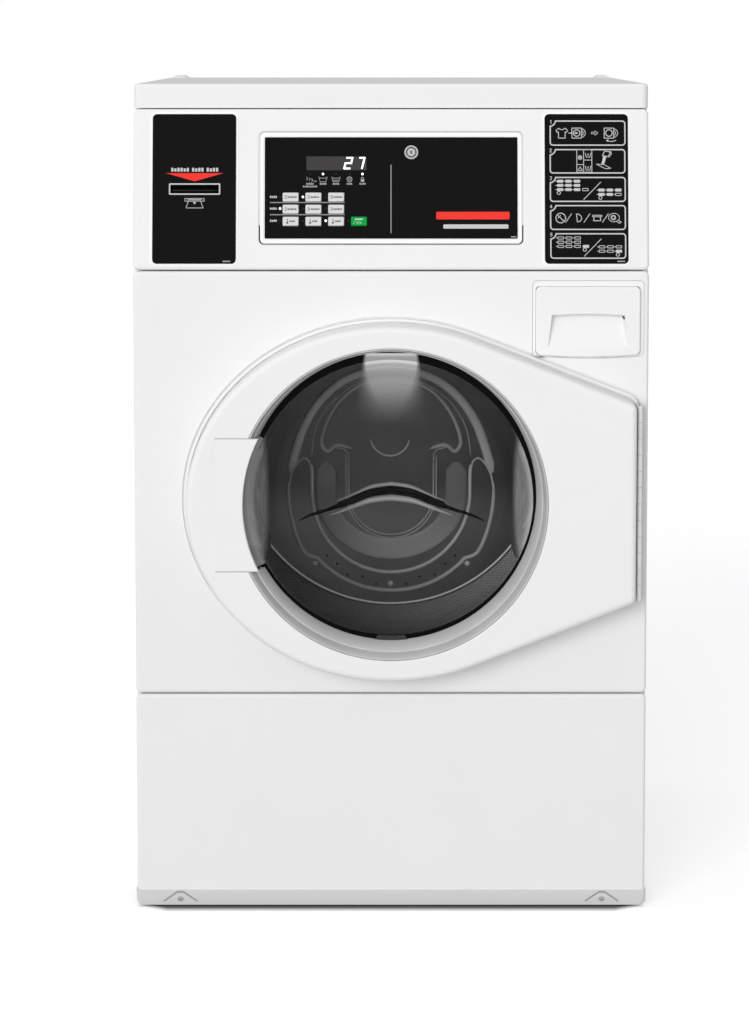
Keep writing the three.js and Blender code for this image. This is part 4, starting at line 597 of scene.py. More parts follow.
def door_outline(grow=0):
    """The loading door seen from the front, as a function of its inset."""
    def outline(inset=0):
        more = grow - inset
        a, b = DOOR_HALF_WIDTH + more, DOOR_HALF_HEIGHT + more
        edge, rise = DOOR_EDGE + more, DOOR_HINGE_HALF + more
        distance = math.hypot(edge / a, rise / b)
        touch = math.atan2(rise / b, edge / a) + math.acos(1 / distance)
        corner = max(DOOR_CORNER + more, 0.5)
        points = [(a * math.cos(turn), b * math.sin(turn))
                  for turn in np.linspace(touch, 2 * math.pi - touch, 181)]
        along = Vector((a * math.cos(touch) - edge, b * math.sin(touch) - rise)).normalized() * corner
        start, bend, end = Vector((edge, rise - corner)), Vector((edge, rise)), Vector((edge, rise)) + along
        turn = [start * (1 - t) ** 2 + bend * 2 * t * (1 - t) + end * t * t for t in np.linspace(0, 1, 13)]
        tail = [(points[0][0] + (end.x - points[0][0]) * t, points[0][1] + (end.y - points[0][1]) * t)
                for t in np.linspace(0, 1, 24, endpoint=False)[1:]]
        upper = [tuple(point) for point in turn] + tail[::-1]
        lower = [(x, -z) for x, z in upper][::-1]
        side = [(edge, z) for z in np.linspace(lower[-1][1], upper[0][1], 25)[1:-1]]
        return [(x, AXIS + z) for x, z in (*points, *lower, *side, *upper)]
    return outline


# How far the lower edge of the drawer sags in its middle
BOW = 3.3


def bowed(left, right, low, high, corner):
    """A rounded rectangle whose lower edge sags to its middle, as a function of its inset."""
    middle, half = (left + right) / 2, (right - left) / 2

    def outline(inset=0):
        corners = rounded(left, right, low, high, corner, 8)(inset)
        points = []
        for index, ((x0, z0), (x1, z1)) in enumerate(zip(corners, corners[1:] + corners[:1])):
            count = 20 if index % 9 == 8 else 1
            points += [(x0 + (x1 - x0) * k / count, z0 + (z1 - z0) * k / count) for k in range(count)]
        return [(x, z + BOW * ((x - middle) / half) ** 2 * min(1, max(0, (low + 40 - z) / 40))) for x, z in points]
    return outline


def front_panel():
    """Front panel with its plateau, the neck of the window, the drawer's hole and the catch's slot."""
    form = Form()
    outer = rounded(-HALF, HALF, SEAM_LOW + GAP / 2, SEAM_HIGH - GAP / 2, PANEL_CORNER, 10)
    border = form.chain(outer, [(0, 20), *edge_round(PANEL_EDGE, 0, 8)[:-1], (PANEL_EDGE + 0.3, 0)])
    plateau = door_outline(6)
    foot = [(-3, 0), (-2.3, 0), (-2.1, 2.8), (-0.4, 2.8), (-0.2, 0), (0.1, -3.4)]
    crown = [(0.1 + 2.4 * (1 - math.cos(t)), -3.5 - 2.5 * math.sin(t)) for t in np.linspace(0.15, math.pi / 2, 6)]
    rise = form.chain(plateau, [*foot, *crown, (3.3, -6), (3.9, -5.9), (4.2, -2), (9, -2), (9.3, -6), (10, -6)])
    hole = bowed(187.2, 335.2, 745.4, 848.9, 6)
    drawer = form.chain(hole, [(-0.9, 0), (-0.4, 0), (-0.1, 0.15), (0, 0.5), (0, 9)])
    form.cap(border[-1], rise[0], drawer[0])
    neck = circle(208, count=180)
    mouth = form.chain(neck, [(-2.4, -6), (-1.6, -6), (-0.6, -5.6), (0, -4.6), (0, 8)])
    slot = rounded(-244, -234, AXIS - 11, AXIS + 11, 1, 3)
    catch = form.chain(slot, [(-0.8, -6), (0, -6), (0, -4.5)])
    form.cap(rise[-1], mouth[0], catch[0])
    return form.piece("front_panel_skin", ENAMEL, "cabinet", "white_enamel", ["front_panel"],
                      wall=SHEET, outward=(0, -1, 0))


def lower_panel():
    """Face of the lower front panel, down to the fold of its toe strip."""
    form = Form()
    outline = rounded(-HALF, HALF, TOE_FOLD, SEAM_LOW - GAP / 2, PANEL_CORNER, 10)

    def squared(inset):
        """The outline with its lower corners squared off at the fold."""
        bend = TOE_FOLD + PANEL_CORNER + inset
        return [(math.copysign(HALF - inset, x) if z < 60 else x, TOE_FOLD if z < bend else z)
                for x, z in outline(inset)]

    loops = form.chain(squared, [(0, 20), *edge_round(PANEL_EDGE, 0, 8)])
    form.faces = [face for face in form.faces if any(form.corners[corner][2] > TOE_FOLD for corner in face)]
    form.cap(loops[-1])
    form.piece("lower_panel_skin", ENAMEL, "cabinet", "white_enamel", ["lower_front_panel"],
               wall=SHEET, outward=(0, -1, 0))


# Heights of the toe strip's fold and foot, and how far it slants back
TOE_FOLD, TOE_LOW, TOE_SLANT = 25.6, 3.2, 8


def toe_face(z):
    """Depth of the toe strip's face at a height."""
    return 0.3 + TOE_SLANT * ((TOE_FOLD - z) / (TOE_FOLD - TOE_LOW)) ** 1.1


def toe_strip():
    """Folded strip under the lower panel, with a chevron boss and a screw at each end."""
    form = Form()
    corner, fold = 7, 3.4
    rows = []
    for share in (0, 0.02, 0.06, *np.linspace(0.12, 1, 9)):
        z = TOE_FOLD - (TOE_FOLD - TOE_LOW) * share
        depth, above = toe_face(z), z - TOE_LOW
        pinch = corner * (1 - math.sqrt(max(1 - ((corner - above) / corner) ** 2, 0))) if above < corner else 0
        reach = HALF + 0.4 - pinch
        left = [(-reach, 18 + depth, z), *[(-reach + fold * (1 - math.cos(t)), depth + fold * (1 - math.sin(t)), z)
                                           for t in np.linspace(0, math.pi / 2, 7)]]
        face = [(x, depth, z) for x in np.linspace(-reach + 12, reach - 12, 60)]
        rows.append(form.loop([*left, *face, *[(-x, y, z) for x, y, z in left[::-1]]]))
    form.bands(rows, closed=False)
    form.piece("toe_strip", TOE_ENAMEL, "cabinet", "white_enamel", wall=SHEET, outward=(0, -1, 0.5))
    for side, name in ((-1, "left"), (1, "right")):
        toe_boss(side * 284, name)


def toe_boss(x, name):
    """A flat triangular boss with painted light in its lighter enamel, a darker roof line of painted shade, and a
    screw in it.
    """
    def lay(form, points, lift):
        return form.loop([(x + u, toe_face(z) - lift, z) for u, z in points])

    form = Form()
    high, foot, low = TOE_FOLD - 3, 8.4, 6.4
    roof = [(-22.4, foot), (-5.6, high - 1.2), (-2.6, high), (2.6, high), (5.6, high - 1.2), (22.4, foot)]
    outline = [(-21.6, low), *roof, (21.6, low)]
    small = [(u * 0.93, low + 0.5 + (z - low) * 0.9) for u, z in outline]
    rings = form.bands([lay(form, outline, -1), lay(form, outline, 0.9), lay(form, small, 1.5)])
    form.cap(rings[-1])
    form.piece(f"toe_boss_{name}", TOE_BOSS_ENAMEL, "cabinet", "white_enamel", outward=(0, -1, 0), angle=50)
    ridge = Form()
    line = smooth_line(roof, 3)
    above = [(u * 1.03, z + 1.5 - abs(u) * 0.03) for u, z in line]
    below = [(u * 0.97, z - 1.7 + abs(u) * 0.035) for u, z in line]
    rows = [lay(ridge, edge, lift) for edge, lift in ((above, 0.2), (above, 1.7), (below, 1.9), (below, 0.2))]
    ridge.bands(rows, closed=False)
    ridge.ends(rows)
    ridge.piece(f"toe_ridge_{name}", TOE_RIDGE_SHADE, "cabinet", "white_enamel", outward=(0, -1, 0), angle=50)
    screw = Form()
    z, radius, cross = 13.2, 4.2, (2.6, 0.35)
    face = toe_face(z) - 2.2
    turned(screw, [(radius, face + 1.8), (radius, face + 0.7), (radius - 0.8, face), (radius - 2, face - 0.2),
                   (0, face - 0.2)], x, z, 32)
    for wide, high in (cross, cross[::-1]):
        screw.block(x - wide, x + wide, face - 0.35, face + 0.1, z - high, z + high)
    tidy_faces(screw).piece(f"toe_screw_{name}", ZINC, "cabinet", "zinc_steel", outward=(0, -1, 0))


def control_panel():
    """Leaning panel above the door, with a square recess for the service door."""
    low, high = SEAM_HIGH + GAP / 2, 1074.4
    slant, stretch = math.tan(LEAN), math.cos(LEAN)
    form = Form()
    outer = rounded(-HALF, HALF, low, high, PANEL_CORNER, 10)
    face = [form.flat(outer(0), 61.4)]
    for inset, depth in edge_round(PANEL_EDGE, 0, 8):
        face.append(form.loop([(x, depth + slant * (z - low), z) for x, z in outer(inset)]))
    form.bands(face)

    def opening(outline, profile):
        """A hole whose wall runs square to the leaning face."""
        return form.bands([form.loop([
            (x, depth / stretch + slant * ((SLOPE_FOOT - low) + v * stretch), SLOPE_FOOT + v * stretch)
            for x, v in outline(inset)]) for inset, depth in profile])

    recess = opening(rounded(-175.2, 175.2, 33.4, 184.4, 7, 8), [(-2.2, 0), (-1.4, 0), (-0.5, 0.3), (0, 1.1), (0, 15)])
    card = opening(rounded(-296, -224, 97.5, 116.7, 1.5, 4), [(-0.8, 0), (0, 0), (0, 3)])
    form.cap(face[-1], recess[0], card[0])
    form.piece("control_panel_skin", ENAMEL, "cabinet", "white_enamel", ["control_panel"],
               wall=SHEET, outward=(0, -1, 0))


def top_cover():
    """Top cover: rolled edges, and a raised pad at each rear corner."""
    form = Form()
    low, high, edge = 1075.7, 1108, 4.5
    rolled = [(edge * (1 - math.cos(t)), high - edge * (1 - math.sin(t))) for t in np.linspace(0, math.pi / 2, 8)]
    cover = form.stack(rounded(-HALF, HALF, 38, 704, 9, 10),
                       [(0, low), (0, high - edge), *rolled[1:], (edge + 1, high)])
    pads = []
    for side in (-1, 1):
        left, right = sorted((side * (HALF - 6), side * (HALF - 32)))
        steps = ((-1, 0), (0, 0), (1, 0.3), (6, 3.3), (7.5, 4), (8.5, 4))
        rings = form.stack(rounded(left, right, 640, 698, 4, 5), [(inset, high + rise) for inset, rise in steps])
        form.cap(rings[-1])
        pads.append(rings[0])
    form.cap(cover[-1], *pads)
    form.piece("top_cover_skin", TOP_ENAMEL, "cabinet", "white_enamel", ["top_panel"],
               wall=SHEET, outward=(0, 0, 1))


# Leaning panel's fittings

def film_plate(name, outline, holes, front, rear, finish, slot, body, replaces=(), edge=0.4):
    """A flat plate in the plane of the leaning panel, with a small rounded edge."""
    form = Form(on_slope)
    profile = [(0, rear), (0, front + edge), (edge * 0.3, front + edge * 0.3), (edge, front), (edge + 0.3, front)]
    rim = form.chain(outline, profile)
    rings = [form.chain(hole, [(0, rear), (0, front + 0.1), (-0.1, front), (-0.3, front)]) for hole in holes]
    form.cap(rim[-1], *[ring[-1] for ring in rings])
    form.cap(rim[0], *[ring[0] for ring in rings])
    return form.piece(name, finish, body, slot, replaces, outward=(0, -1, 0.1))


# Middles of the nine selection keys, row by row, and of the start key
KEY_PLACES = [(-133 + column * 30.15, 64.6 + (2 - row) * 16.05) for row in range(3) for column in range(3)]
KEY_PLACES.append((-133 + 3 * 30.15, 64.6))
KEY_WIDE, KEY_HIGH = 20.9, 11.9
LOCK_X, LOCK_Z, LOCK_RADIUS = 26.7, 156.4, 9.5

# Depths of the plates' faces, and the thickness of ink
FLAP_FACE, PLATE_FACE, KEY_FACE, INK_FILM = -1.5, -2.3, -4.1, 0.12


def key_windows():
    """Openings in the overlay round the keys."""
    room = 0.6
    return [about(x, z, KEY_WIDE / 2 + room, KEY_HIGH / 2 + room, 1.6, 3) for x, z in KEY_PLACES]


def flap():
    """Service door with its raised white border, and the black overlay on it."""
    holes = [*key_windows(), circle(LOCK_RADIUS + 0.3, LOCK_X, LOCK_Z, 40)]
    form = Form(on_slope)
    outer = form.chain(rounded(-173.5, 173.5, 35.4, 182.9, 6, 8), [(0, 14), *edge_round(1.6, -0.4, 5)])
    inner = form.chain(rounded(-169, 169, 40.2, 178.4, 2.4, 6), [(-0.6, -0.4), (0, -0.4), (0.4, 0)])
    rings = [form.chain(hole, [(0, 0), (0, 1.5)]) for hole in holes]
    form.cap(outer[-1], inner[0])
    form.cap(inner[-1], *[ring[0] for ring in rings])
    form.piece("service_flap_skin", FLAP_WHITE, "service_flap", "white_enamel", ["service_door"],
               wall=1.2, outward=(0, -1, 0.1))
    flap_seal()
    film_plate("overlay_film", rounded(-167.4, 167.4, 41.8, 176.8, 1.5, 6), holes, FLAP_FACE, -0.3, BLACK_FILM,
               "black_film", "service_flap", ["control_overlay"])


def flap_seal():
    """Seal in the gap round the service door, open at the foot where the door's edge swings."""
    form = Form(on_slope)
    foot = 60
    corners = (rounded(-175, 175, 33.6, 184.2, 6.8, 8)()[9:27], rounded(-173.8, 173.8, 34.9, 183.2, 6, 8)()[9:27])
    outside, inside = ([(line[0][0], foot), *line, (line[-1][0], foot)] for line in corners)
    form.tube([form.flat(*ring) for ring in ((outside, 1.3), (inside, 1.3), (inside, 2.6), (outside, 2.6))],
              closed=False)
    form.piece("flap_gap_seal", MOULDED_WHITE, "cabinet", "white_plastic")


def keys():
    """Nine selection keys and the start key, each with a flange behind the overlay and a hollow face."""
    for index, (x, z) in enumerate(KEY_PLACES):
        start = index == len(KEY_PLACES) - 1
        name = "start_key" if start else f"key_{index + 1}"
        body = "start_button" if start else f"selection_key_{index + 1}"
        finish, slot = (KEY_GREEN, "start_green") if start else (KEY_GREY, "key_grey")
        form = Form(on_slope)
        flange = form.chain(about(x, z, 12.4, 7.8, 1, 2), [(0, 4), (0, 2.2)])
        form.cap(flange[0])
        side = form.chain(about(x, z, KEY_WIDE / 2, KEY_HIGH / 2, 1.8, 5), [
            (0, 2.2), (0, KEY_FACE + 1), (0.25, KEY_FACE + 0.3), (1, KEY_FACE), (1.6, KEY_FACE + 0.02),
            (3.2, KEY_FACE + 0.25), (4.6, KEY_FACE + 0.36)])
        form.cap(flange[-1], side[0])
        form.cap(side[-1])
        form.piece(f"{name}_cap", finish, body, slot, [name], outward=(0, -1, 0.1))


def lock_barrel():
    """Round lock with a rim, a keyway and a cam behind it."""
    form = Form(on_slope)
    front = -4.0
    profile = [(0, 16), (LOCK_RADIUS, 16), (LOCK_RADIUS, front + 1.2), (LOCK_RADIUS - 0.5, front + 0.3),
               (LOCK_RADIUS - 1.4, front), (7.2, front), (6.8, front + 0.9), (5.6, front + 0.9), (5.2, front + 0.2),
               (4.6, front), (2.6, front), (2.3, front + 0.3), (2.3, front + 2.4), (0, front + 2.4)]
    turned(form, profile, LOCK_X, LOCK_Z, 48)
    form.block(LOCK_X - 6, LOCK_X + 34, 16, 18.5, LOCK_Z - 6, LOCK_Z + 6)
    tidy_faces(form).piece("lock_barrel", CHROME, "flap_lock", "zinc_steel", ["lock_cylinder"], outward=(0, -1, 0))
    keyway = Form(on_slope)
    keyway.block(LOCK_X - 0.7, LOCK_X + 0.7, front + 1.8, front + 2.5, LOCK_Z - 2, LOCK_Z + 2)
    turned(keyway, [(6.7, front + 0.7), (5.7, front + 0.7), (5.7, front + 1), (6.7, front + 1)], LOCK_X, LOCK_Z, 40,
           closed=True)
    keyway.piece("lock_keyway", BLACK_MOULDING, "flap_lock", "zinc_steel")


# Marks: every one is a plain generic shape, thin as a film of ink

class Marks:
    """Thin flat shapes on the leaning panel, gathered in one piece of one ink."""

    def __init__(self, lift, thick=INK_FILM, origin=(0, 0)):
        self.form = Form(on_slope)
        self.depths = (lift, lift + thick)
        self.origin = origin

    def at(self, x, z):
        """Takes the shapes that follow from this point."""
        self.origin = (x, z)
        return self

    def lay(self, points):
        x0, z0 = self.origin
        return [self.form.flat([(x0 + x, z0 + z) for x, z in points], depth) for depth in self.depths]

    def area(self, points):
        self.form.rod(self.lay(points))

    def bar(self, left, right, low, high):
        self.area([(left, low), (right, low), (right, high), (left, high)])

    def frame(self, outline, wide):
        (near, far), (near_inner, far_inner) = self.lay(outline(0)), self.lay(outline(wide))
        for first, second in ((near, near_inner), (far, far_inner), (near, far), (near_inner, far_inner)):
            self.form.band(first, second)

    def stroke(self, points, wide):
        """A line of one width through points, with square joints."""
        for (x0, z0), (x1, z1) in zip(points, points[1:]):
            along = Vector((x1 - x0, z1 - z0)).normalized()
            side = Vector((-along.y, along.x)) * wide / 2
            start, end = Vector((x0, z0)) - along * wide * 0.3, Vector((x1, z1)) + along * wide * 0.3
            self.area([start - side, end - side, end + side, start + side])

    def ring(self, x, z, radius, wide, count=24):
        self.frame(circle(radius, x, z, count), wide)

    def disc(self, x, z, radius, count=20):
        self.area(circle(radius, x, z, count)())

    def outline(self, points, wide):
        self.stroke([*points, points[0]], wide)

    def words(self, left, right, low, high, *counts):
        """Small blocks in the place of words: each count is the blocks of one word."""
        cell = (right - left) / (sum(counts) + 0.7 * (len(counts) - 1))
        start = left
        for count in counts:
            for index in range(count):
                place = start + (index + 0.14) * cell
                top = high if index % 3 != 1 else high - 0.16 * (high - low)
                self.bar(place, place + 0.72 * cell, low, top)
            start += (count + 0.7) * cell

    def piece(self, name, finish, body, slot="key_grey"):
        return self.form.piece(name, finish, body, slot)


def digit(marks, left, low, wide, lit):
    """A seven-segment numeral that leans to the right."""
    high, thick, lean = 14.2, 2.1, 0.24
    middle = high / 2
    segments = {"top": ((0, high), (wide, high)), "upper": ((wide, high), (wide, middle)),
                "lower": ((wide, middle), (wide, 0)), "foot": ((0, 0), (wide, 0)),
                "heel": ((0, middle), (0, 0)), "middle": ((0, middle), (wide, middle))}
    for name in lit:
        marks.stroke([(left + x + lean * z, low + z) for x, z in segments[name]], thick)


def overlay_marks():
    """Display, indicators, icons, rows and stripes printed on the service door's overlay."""
    film_plate("display_window", rounded(-112.2, -32.6, 132.6, 151.1, 0.8, 3), [], FLAP_FACE - 0.25, FLAP_FACE,
               WINDOW_SMOKE, "dark_glass", "service_flap", edge=0.1)
    digits = Marks(FLAP_FACE - 0.42)
    digit(digits, -62.2, 135, 7.6, ("top", "upper", "middle", "heel", "foot"))
    digit(digits, -44.8, 135, 6.2, ("top", "upper", "lower"))
    digits.piece("display_digits", DIGIT_GLOW, "service_flap")
    lit, dim = Marks(FLAP_FACE - 0.4, 0.4), Marks(FLAP_FACE - 0.2, 0.2)
    for x, z in ((-90.2, 127.6), (-37.9, 127.6), (-116.7, 97.1), (-146.9, 81.6), (-86.5, 65.4)):
        lit.disc(x, z, 1.55)
    for x, z in ((-107.7, 127.8), (-73, 127.8), (-55.1, 127.8), (-146.9, 97.1), (-86.5, 97.1), (-116.7, 81.6),
                 (-86.5, 81.6), (-146.9, 65.4), (-116.7, 65.4), (-56.4, 65.4)):
        dim.disc(x, z, 1.3)
    lit.piece("lit_indicators", LAMP_GLOW, "service_flap")
    dim.piece("unlit_indicators", DIM_LAMP, "service_flap", "dark_glass")
    lines, ink, icons, red, pale = (Marks(FLAP_FACE - INK_FILM) for _ in range(5))
    lines.bar(-0.8, 0.6, 48.9, 140)
    for z in (89.7, 73.5):
        lines.bar(-160.4, -61.4, z - 0.7, z + 0.7)
    lines.piece("overlay_lines", INK_GREY, "service_flap")
    for z, count in ((97.1, 4), (81.6, 5), (65.4, 4)):
        ink.words(-160.6, -151, z - 1.4, z + 1.5, count)
    ink.words(158.4, 166.2, 43.4, 44.8, 5)
    ink.piece("overlay_ink", INK_FRAME, "service_flap")
    state_icons(icons)
    icons.piece("state_icons", INK_ICON, "service_flap")
    red.area(rounded(59.7, 156.7, 67.2, 77.4, 1.6, 4)())
    red.piece("red_stripe", INK_RED, "service_flap")
    pale.area(rounded(69.1, 155.2, 55, 60.6, 1.2, 4)())
    pale.piece("pale_stripe", INK_FRAME, "service_flap")


def state_icons(ink):
    """Plain icons under the indicators: drops, two tubs, a drum and a padlock."""
    thin = 0.62
    for index in range(3):
        x = -112 + 3.4 * index
        ink.stroke([(x, 123.6 - index), (x + 1.4, 121.6 - index), (x, 119.6 - index)], thin)
    ink.bar(-102.6, -98.6, 117.6, 118.5)
    for x, filled in ((-90.2, True), (-73, False)):
        ink.stroke([(x - 5.6, 124), (x - 3.8, 117.4), (x + 3.8, 117.4), (x + 5.6, 124)], thin)
        ink.stroke([(x - 4.9, 121.6), (x - 2.4, 122.6), (x, 121.6), (x + 2.4, 122.6), (x + 4.9, 121.6)], thin)
        if not filled:
            ink.bar(x - 3.6, x + 3.6, 119, 119.7)
    ink.ring(-55.1, 120.6, 3.7, 0.9, 20)
    ink.ring(-55.1, 120.6, 1.5, 0.7, 14)
    ink.area(rounded(-40.1, -35.7, 117.3, 121, 0.6, 3)())
    ink.frame(circle(1.9, -37.9, 121.9, 16), 0.7)
    for left, right, count in ((-112.6, -102.3, 5), (-94.6, -85.4, 4), (-77.5, -68.6, 5), (-59, -51.4, 4),
                               (-42.1, -33.6, 4)):
        ink.words(left, right, 113.4, 115.9, count)
    ink.words(-116.9, -97.7, 109.9, 112.2, 10)


def key_labels():
    """A small outline icon and greeked word on each key, and on the start key."""
    for index, place in enumerate(KEY_PLACES[:-1]):
        ink = Marks(KEY_FACE + INK_FILM, 0.5, place)
        odd = index % 2
        if index < 6:
            ink.frame(rounded(-8.6, -4.6, -2, 2, 0.9, 3), 0.5)
            ink.bar(-7.6, -5.6, -0.3, 0.3)
            ink.words(-3.6, 8.8 - odd, -1.1, 1.1, 7 - odd)
        else:
            ink.bar(-4.6, -3.8, -1, 3.2)
            ink.disc(-4.2, -2.1, 1.4)
            ink.words(-1.6, 6.2 - odd, -1.1, 1.1, 4)
        ink.piece(f"key_{index + 1}_label", INK_DARK, f"selection_key_{index + 1}", "motor_steel")
    ink = Marks(KEY_FACE + INK_FILM, 0.5, KEY_PLACES[-1])
    ink.words(-5.4, 5.4, 1.6, 4.2, 5)
    ink.outline([(-3.2, -2.2), (0, -0.4), (3.2, -2.2), (0, -4)], 0.5)
    ink.outline([(-7.6, -3.6), (-5.6, 0.2), (-4.4, -0.6)], 0.25)
    ink.piece("start_key_label", INK_WHITE, "start_button")


def card_side():
    """Card plate with its reader, and the plain marks round the slot."""
    black_plate("card_plate", -316, -205.4, [rounded(-294.2, -225.8, 99.2, 115, 0.8, 3)])
    form = Form(on_slope)
    bezel = rounded(-293.9, -225.9, 99.5, 114.7, 0.7, 3)
    block = rounded(-297.9, -221.9, 87.5, 126.7, 3, 3)
    rings = [form.flat(outline(inset), depth) for outline, inset, depth in (
        (block, 0, 56), (block, 0, 3.5), (bezel, 0, 3.5), (bezel, 0, -2.2), (bezel, 0.3, -2.4), (bezel, 1.9, -2.4),
        (bezel, 2.1, -2.1))]
    form.bands(rings)
    form.cap(rings[0])
    throat = [form.flat(rounded(-291.8, -228, 101.6, high, 0.5, 3)(), depth)
              for high, depth in ((112.6, -2.1), (108.7, 9), (104.7, 9), (104.7, 52))]
    form.bands([rings[-1], *throat])
    form.cap(throat[-1])
    form.piece("card_reader_bezel", BLACK_FILM, "cabinet", "black_film", ["card_reader"], outward=(0, 1, 0))
    ink = Marks(-2.54, 0.2)
    ink.frame(rounded(-294.1, -226.1, 99.9, 115.1, 1.5, 4), 1.8)
    ink.piece("slot_frame", INK_FRAME, "cabinet")
    lip = Marks(-0.9, 0.6)
    lip.area([(-289, 105.2), (-233, 105.3), (-233, 106.2), (-289, 106.5)])
    lip.piece("slot_lip", DIM_LAMP, "cabinet", "dark_glass")
    ink, red = Marks(PLATE_FACE - INK_FILM), Marks(PLATE_FACE - INK_FILM)
    ink.words(-291.8, -228.4, 130.8, 135.8, 6, 4, 4)
    ink.frame(rounded(-273.2, -247, 91, 95.3, 0.6, 3), 0.7)
    ink.bar(-269.5, -250.7, 92.6, 93.7)
    ink.stroke([(-268.4, 91), (-271.4, 82.4), (-248.8, 82.4), (-251.8, 91)], 0.75)
    ink.area([(-262.4, 90.2), (-258, 90.2), (-260.2, 87)])
    ink.words(-222.7, -212.7, 10.7, 12.2, 6)
    ink.piece("card_plate_ink", INK_FRAME, "cabinet")
    red.area([(-298.5, 128.8), (-260.2, 117.8), (-221.9, 128.8)])
    red.piece("red_pointer", INK_RED, "cabinet")


def black_plate(name, left, right, holes):
    """Black plate on the leaning panel, with a white rim round it, raised and painted brighter than the panel as a
    painted highlight.
    """
    opening = rounded(left + 0.4, right - 0.4, 8.7, 207.2, 5.8, 10)
    film_plate(f"{name}_rim", rounded(left - 3, right + 3, 5.3, 210.6, 8.5, 10), [opening], -0.9, -0.1, FLAP_WHITE,
               "white_enamel", "cabinet")
    film_plate(f"{name}_film", rounded(left, right, 8.3, 207.6, 6, 10), holes, PLATE_FACE, -0.3, BLACK_FILM,
               "black_film", "cabinet", [name])


def notched(left, right, low, high):
    """A rounded frame whose upper left corner is bitten out, as a function of its inset."""
    def outline(inset=0):
        bend, bite = 4.6 - inset, 7 + inset
        a, b, c, d = left + inset, right - inset, low + inset, high - inset
        first, last = (math.degrees(turn) for turn in (-math.asin(inset / bite), -math.acos(inset / bite)))
        return [*arc(b - bend, c + bend, bend, -90, 0, 6), *arc(b - bend, d - bend, bend, 0, 90, 6),
                *arc(left, high, bite, first, last, 8), *arc(a + bend, c + bend, bend, 180, 270, 6)]
    return outline


# Strokes of the plain numerals in the five frames
NUMERALS = {
    1: [(-0.5, 1.6), (0.4, 2.2), (0.4, -2.2)],
    2: [(-1.2, 1.2), (-0.5, 2.1), (0.6, 2.1), (1.2, 1.1), (-1.2, -2.1), (1.3, -2.1)],
    3: [(-1.2, 2.1), (1.2, 2.1), (0, 0.4), (1.1, -0.5), (0.5, -2), (-1.2, -1.8)],
    4: [(0.6, -2.2), (0.6, 2.2), (-1.3, -0.8), (1.4, -0.8)],
    5: [(1.1, 2.1), (-0.9, 2.1), (-1.1, 0.3), (0.6, 0.5), (1.1, -0.8), (0.4, -2), (-1.2, -1.8)],
}


def instruction_side():
    """Instruction plate: five numbered frames with plain pictograms."""
    black_plate("instruction_plate", 203.4, 313.9, [])
    ink = Marks(PLATE_FACE - INK_FILM)
    frames = [(210, 310.7, 165.2, 199), (209.9, 310.4, 128.1, 160.9), (210, 310.7, 90.3, 123.8),
              (210.2, 310.7, 53, 86.3), (210.4, 310.9, 14.8, 48.9)]
    for number, (left, right, low, high) in enumerate(frames, 1):
        ink.frame(notched(left, right, low, high), 1.7)
        ink.stroke([(left + 1.5 + u, high - 2 + v) for u, v in NUMERALS[number]], 0.8)
    drawn = (load_pictogram, pour_pictogram, choose_pictogram, pay_pictogram, last_pictogram)
    for draw, (left, _, low, _) in zip(drawn, frames):
        draw(ink.at(left, low))
    ink.at(0, 0).words(299, 309.2, 10.7, 12.2, 6)
    ink.piece("instruction_ink", INK_FRAME, "cabinet")


def load_pictogram(ink):
    """A garment, an arrow into a machine, and the machine with its door shut."""
    ink.outline([(12.2, 23.4), (8.4, 20.6), (10.2, 17.6), (11.8, 18.6), (11.8, 10.2), (20.6, 10.2), (20.6, 18.6),
                 (22.2, 17.6), (24, 20.6), (20.2, 23.4), (17.8, 21.6), (14.6, 21.6)], 1)
    ink.bar(25, 35, 16.5, 17.5)
    ink.area([(34.4, 15), (38, 17), (34.4, 19)])
    for start in (29.6, 72.4):
        ink.outline([(start + u, v) for u, v in ((0, 10.2), (12.6, 10.2), (12.6, 23.6), (0, 23.6))], 1)
        ink.ring(start + 6.3, 17, 4.9, 1.1)
        for reach, wide, high, end, count, line in ((11.4, 6.4, 6, 1.3, 12, 1), (11.6, 3.4, 3.6, 1.2, 8, 0.9)):
            ink.stroke([(start + reach + math.cos(t) * wide, 17 + math.sin(t) * high)
                        for t in np.linspace(-end, end, count)], line)
    ink.outline([(55.6, 16), (60, 16), (60, 14.2), (64, 17), (60, 19.8), (60, 18), (55.6, 18)], 0.7)
    ink.stroke([(76, 6.8), (80, 5.8), (84, 5.9), (88, 7.4)], 1)
    ink.area([(77.4, 5), (74.4, 7.2), (78, 8.6)])


def pour_pictogram(ink):
    """A tray with four cups, and a scoop that pours."""
    ink.frame(rounded(35.6, 56.4, 1.4, 32.2, 0.5, 2), 0.9)
    for box in ((44.6, 45.5, 1.8, 31.8), (36, 45, 11.6, 12.5), (45, 56, 17.6, 18.5)):
        ink.bar(*box)
    ink.ring(40.4, 21.4, 2.9, 1.2, 16)
    ink.disc(40.4, 21.4, 1.1, 10)
    ink.outline([(37.4, 4.4), (43.4, 4.4), (40.4, 9)], 0.8)
    for height in (22, 4.8):
        ink.stroke([(47.4, height + 5.4), (48.6, height), (53.4, height), (54.6, height + 5.4)], 0.8)
        ink.bar(50.5, 51.5, height + 1.6, height + 5)
    ink.outline([(70, 24), (73, 30), (81.6, 29), (77.4, 22.6)], 1.1)
    ink.stroke([(77.6, 29.4), (82.4, 26.8), (78.4, 21.6)], 0.8)
    ink.area([(71.2, 24), (75.4, 22.8), (72.4, 13), (68.4, 11)])
    ink.outline([(62, 12.6), (74, 6.4), (81, 7.2), (72, 12)], 0.8)


def key_mark(ink, u, v, filled, tick=True):
    """A small key, filled or in outline, with a tick to its left."""
    outline = about(u, v, 4.1, 1.9, 0.7, 2)
    if filled:
        ink.area(outline())
    else:
        ink.frame(outline, 0.8)
    if tick:
        ink.bar(u - 6.2, u - 3.9, v - 0.4, v + 0.4)


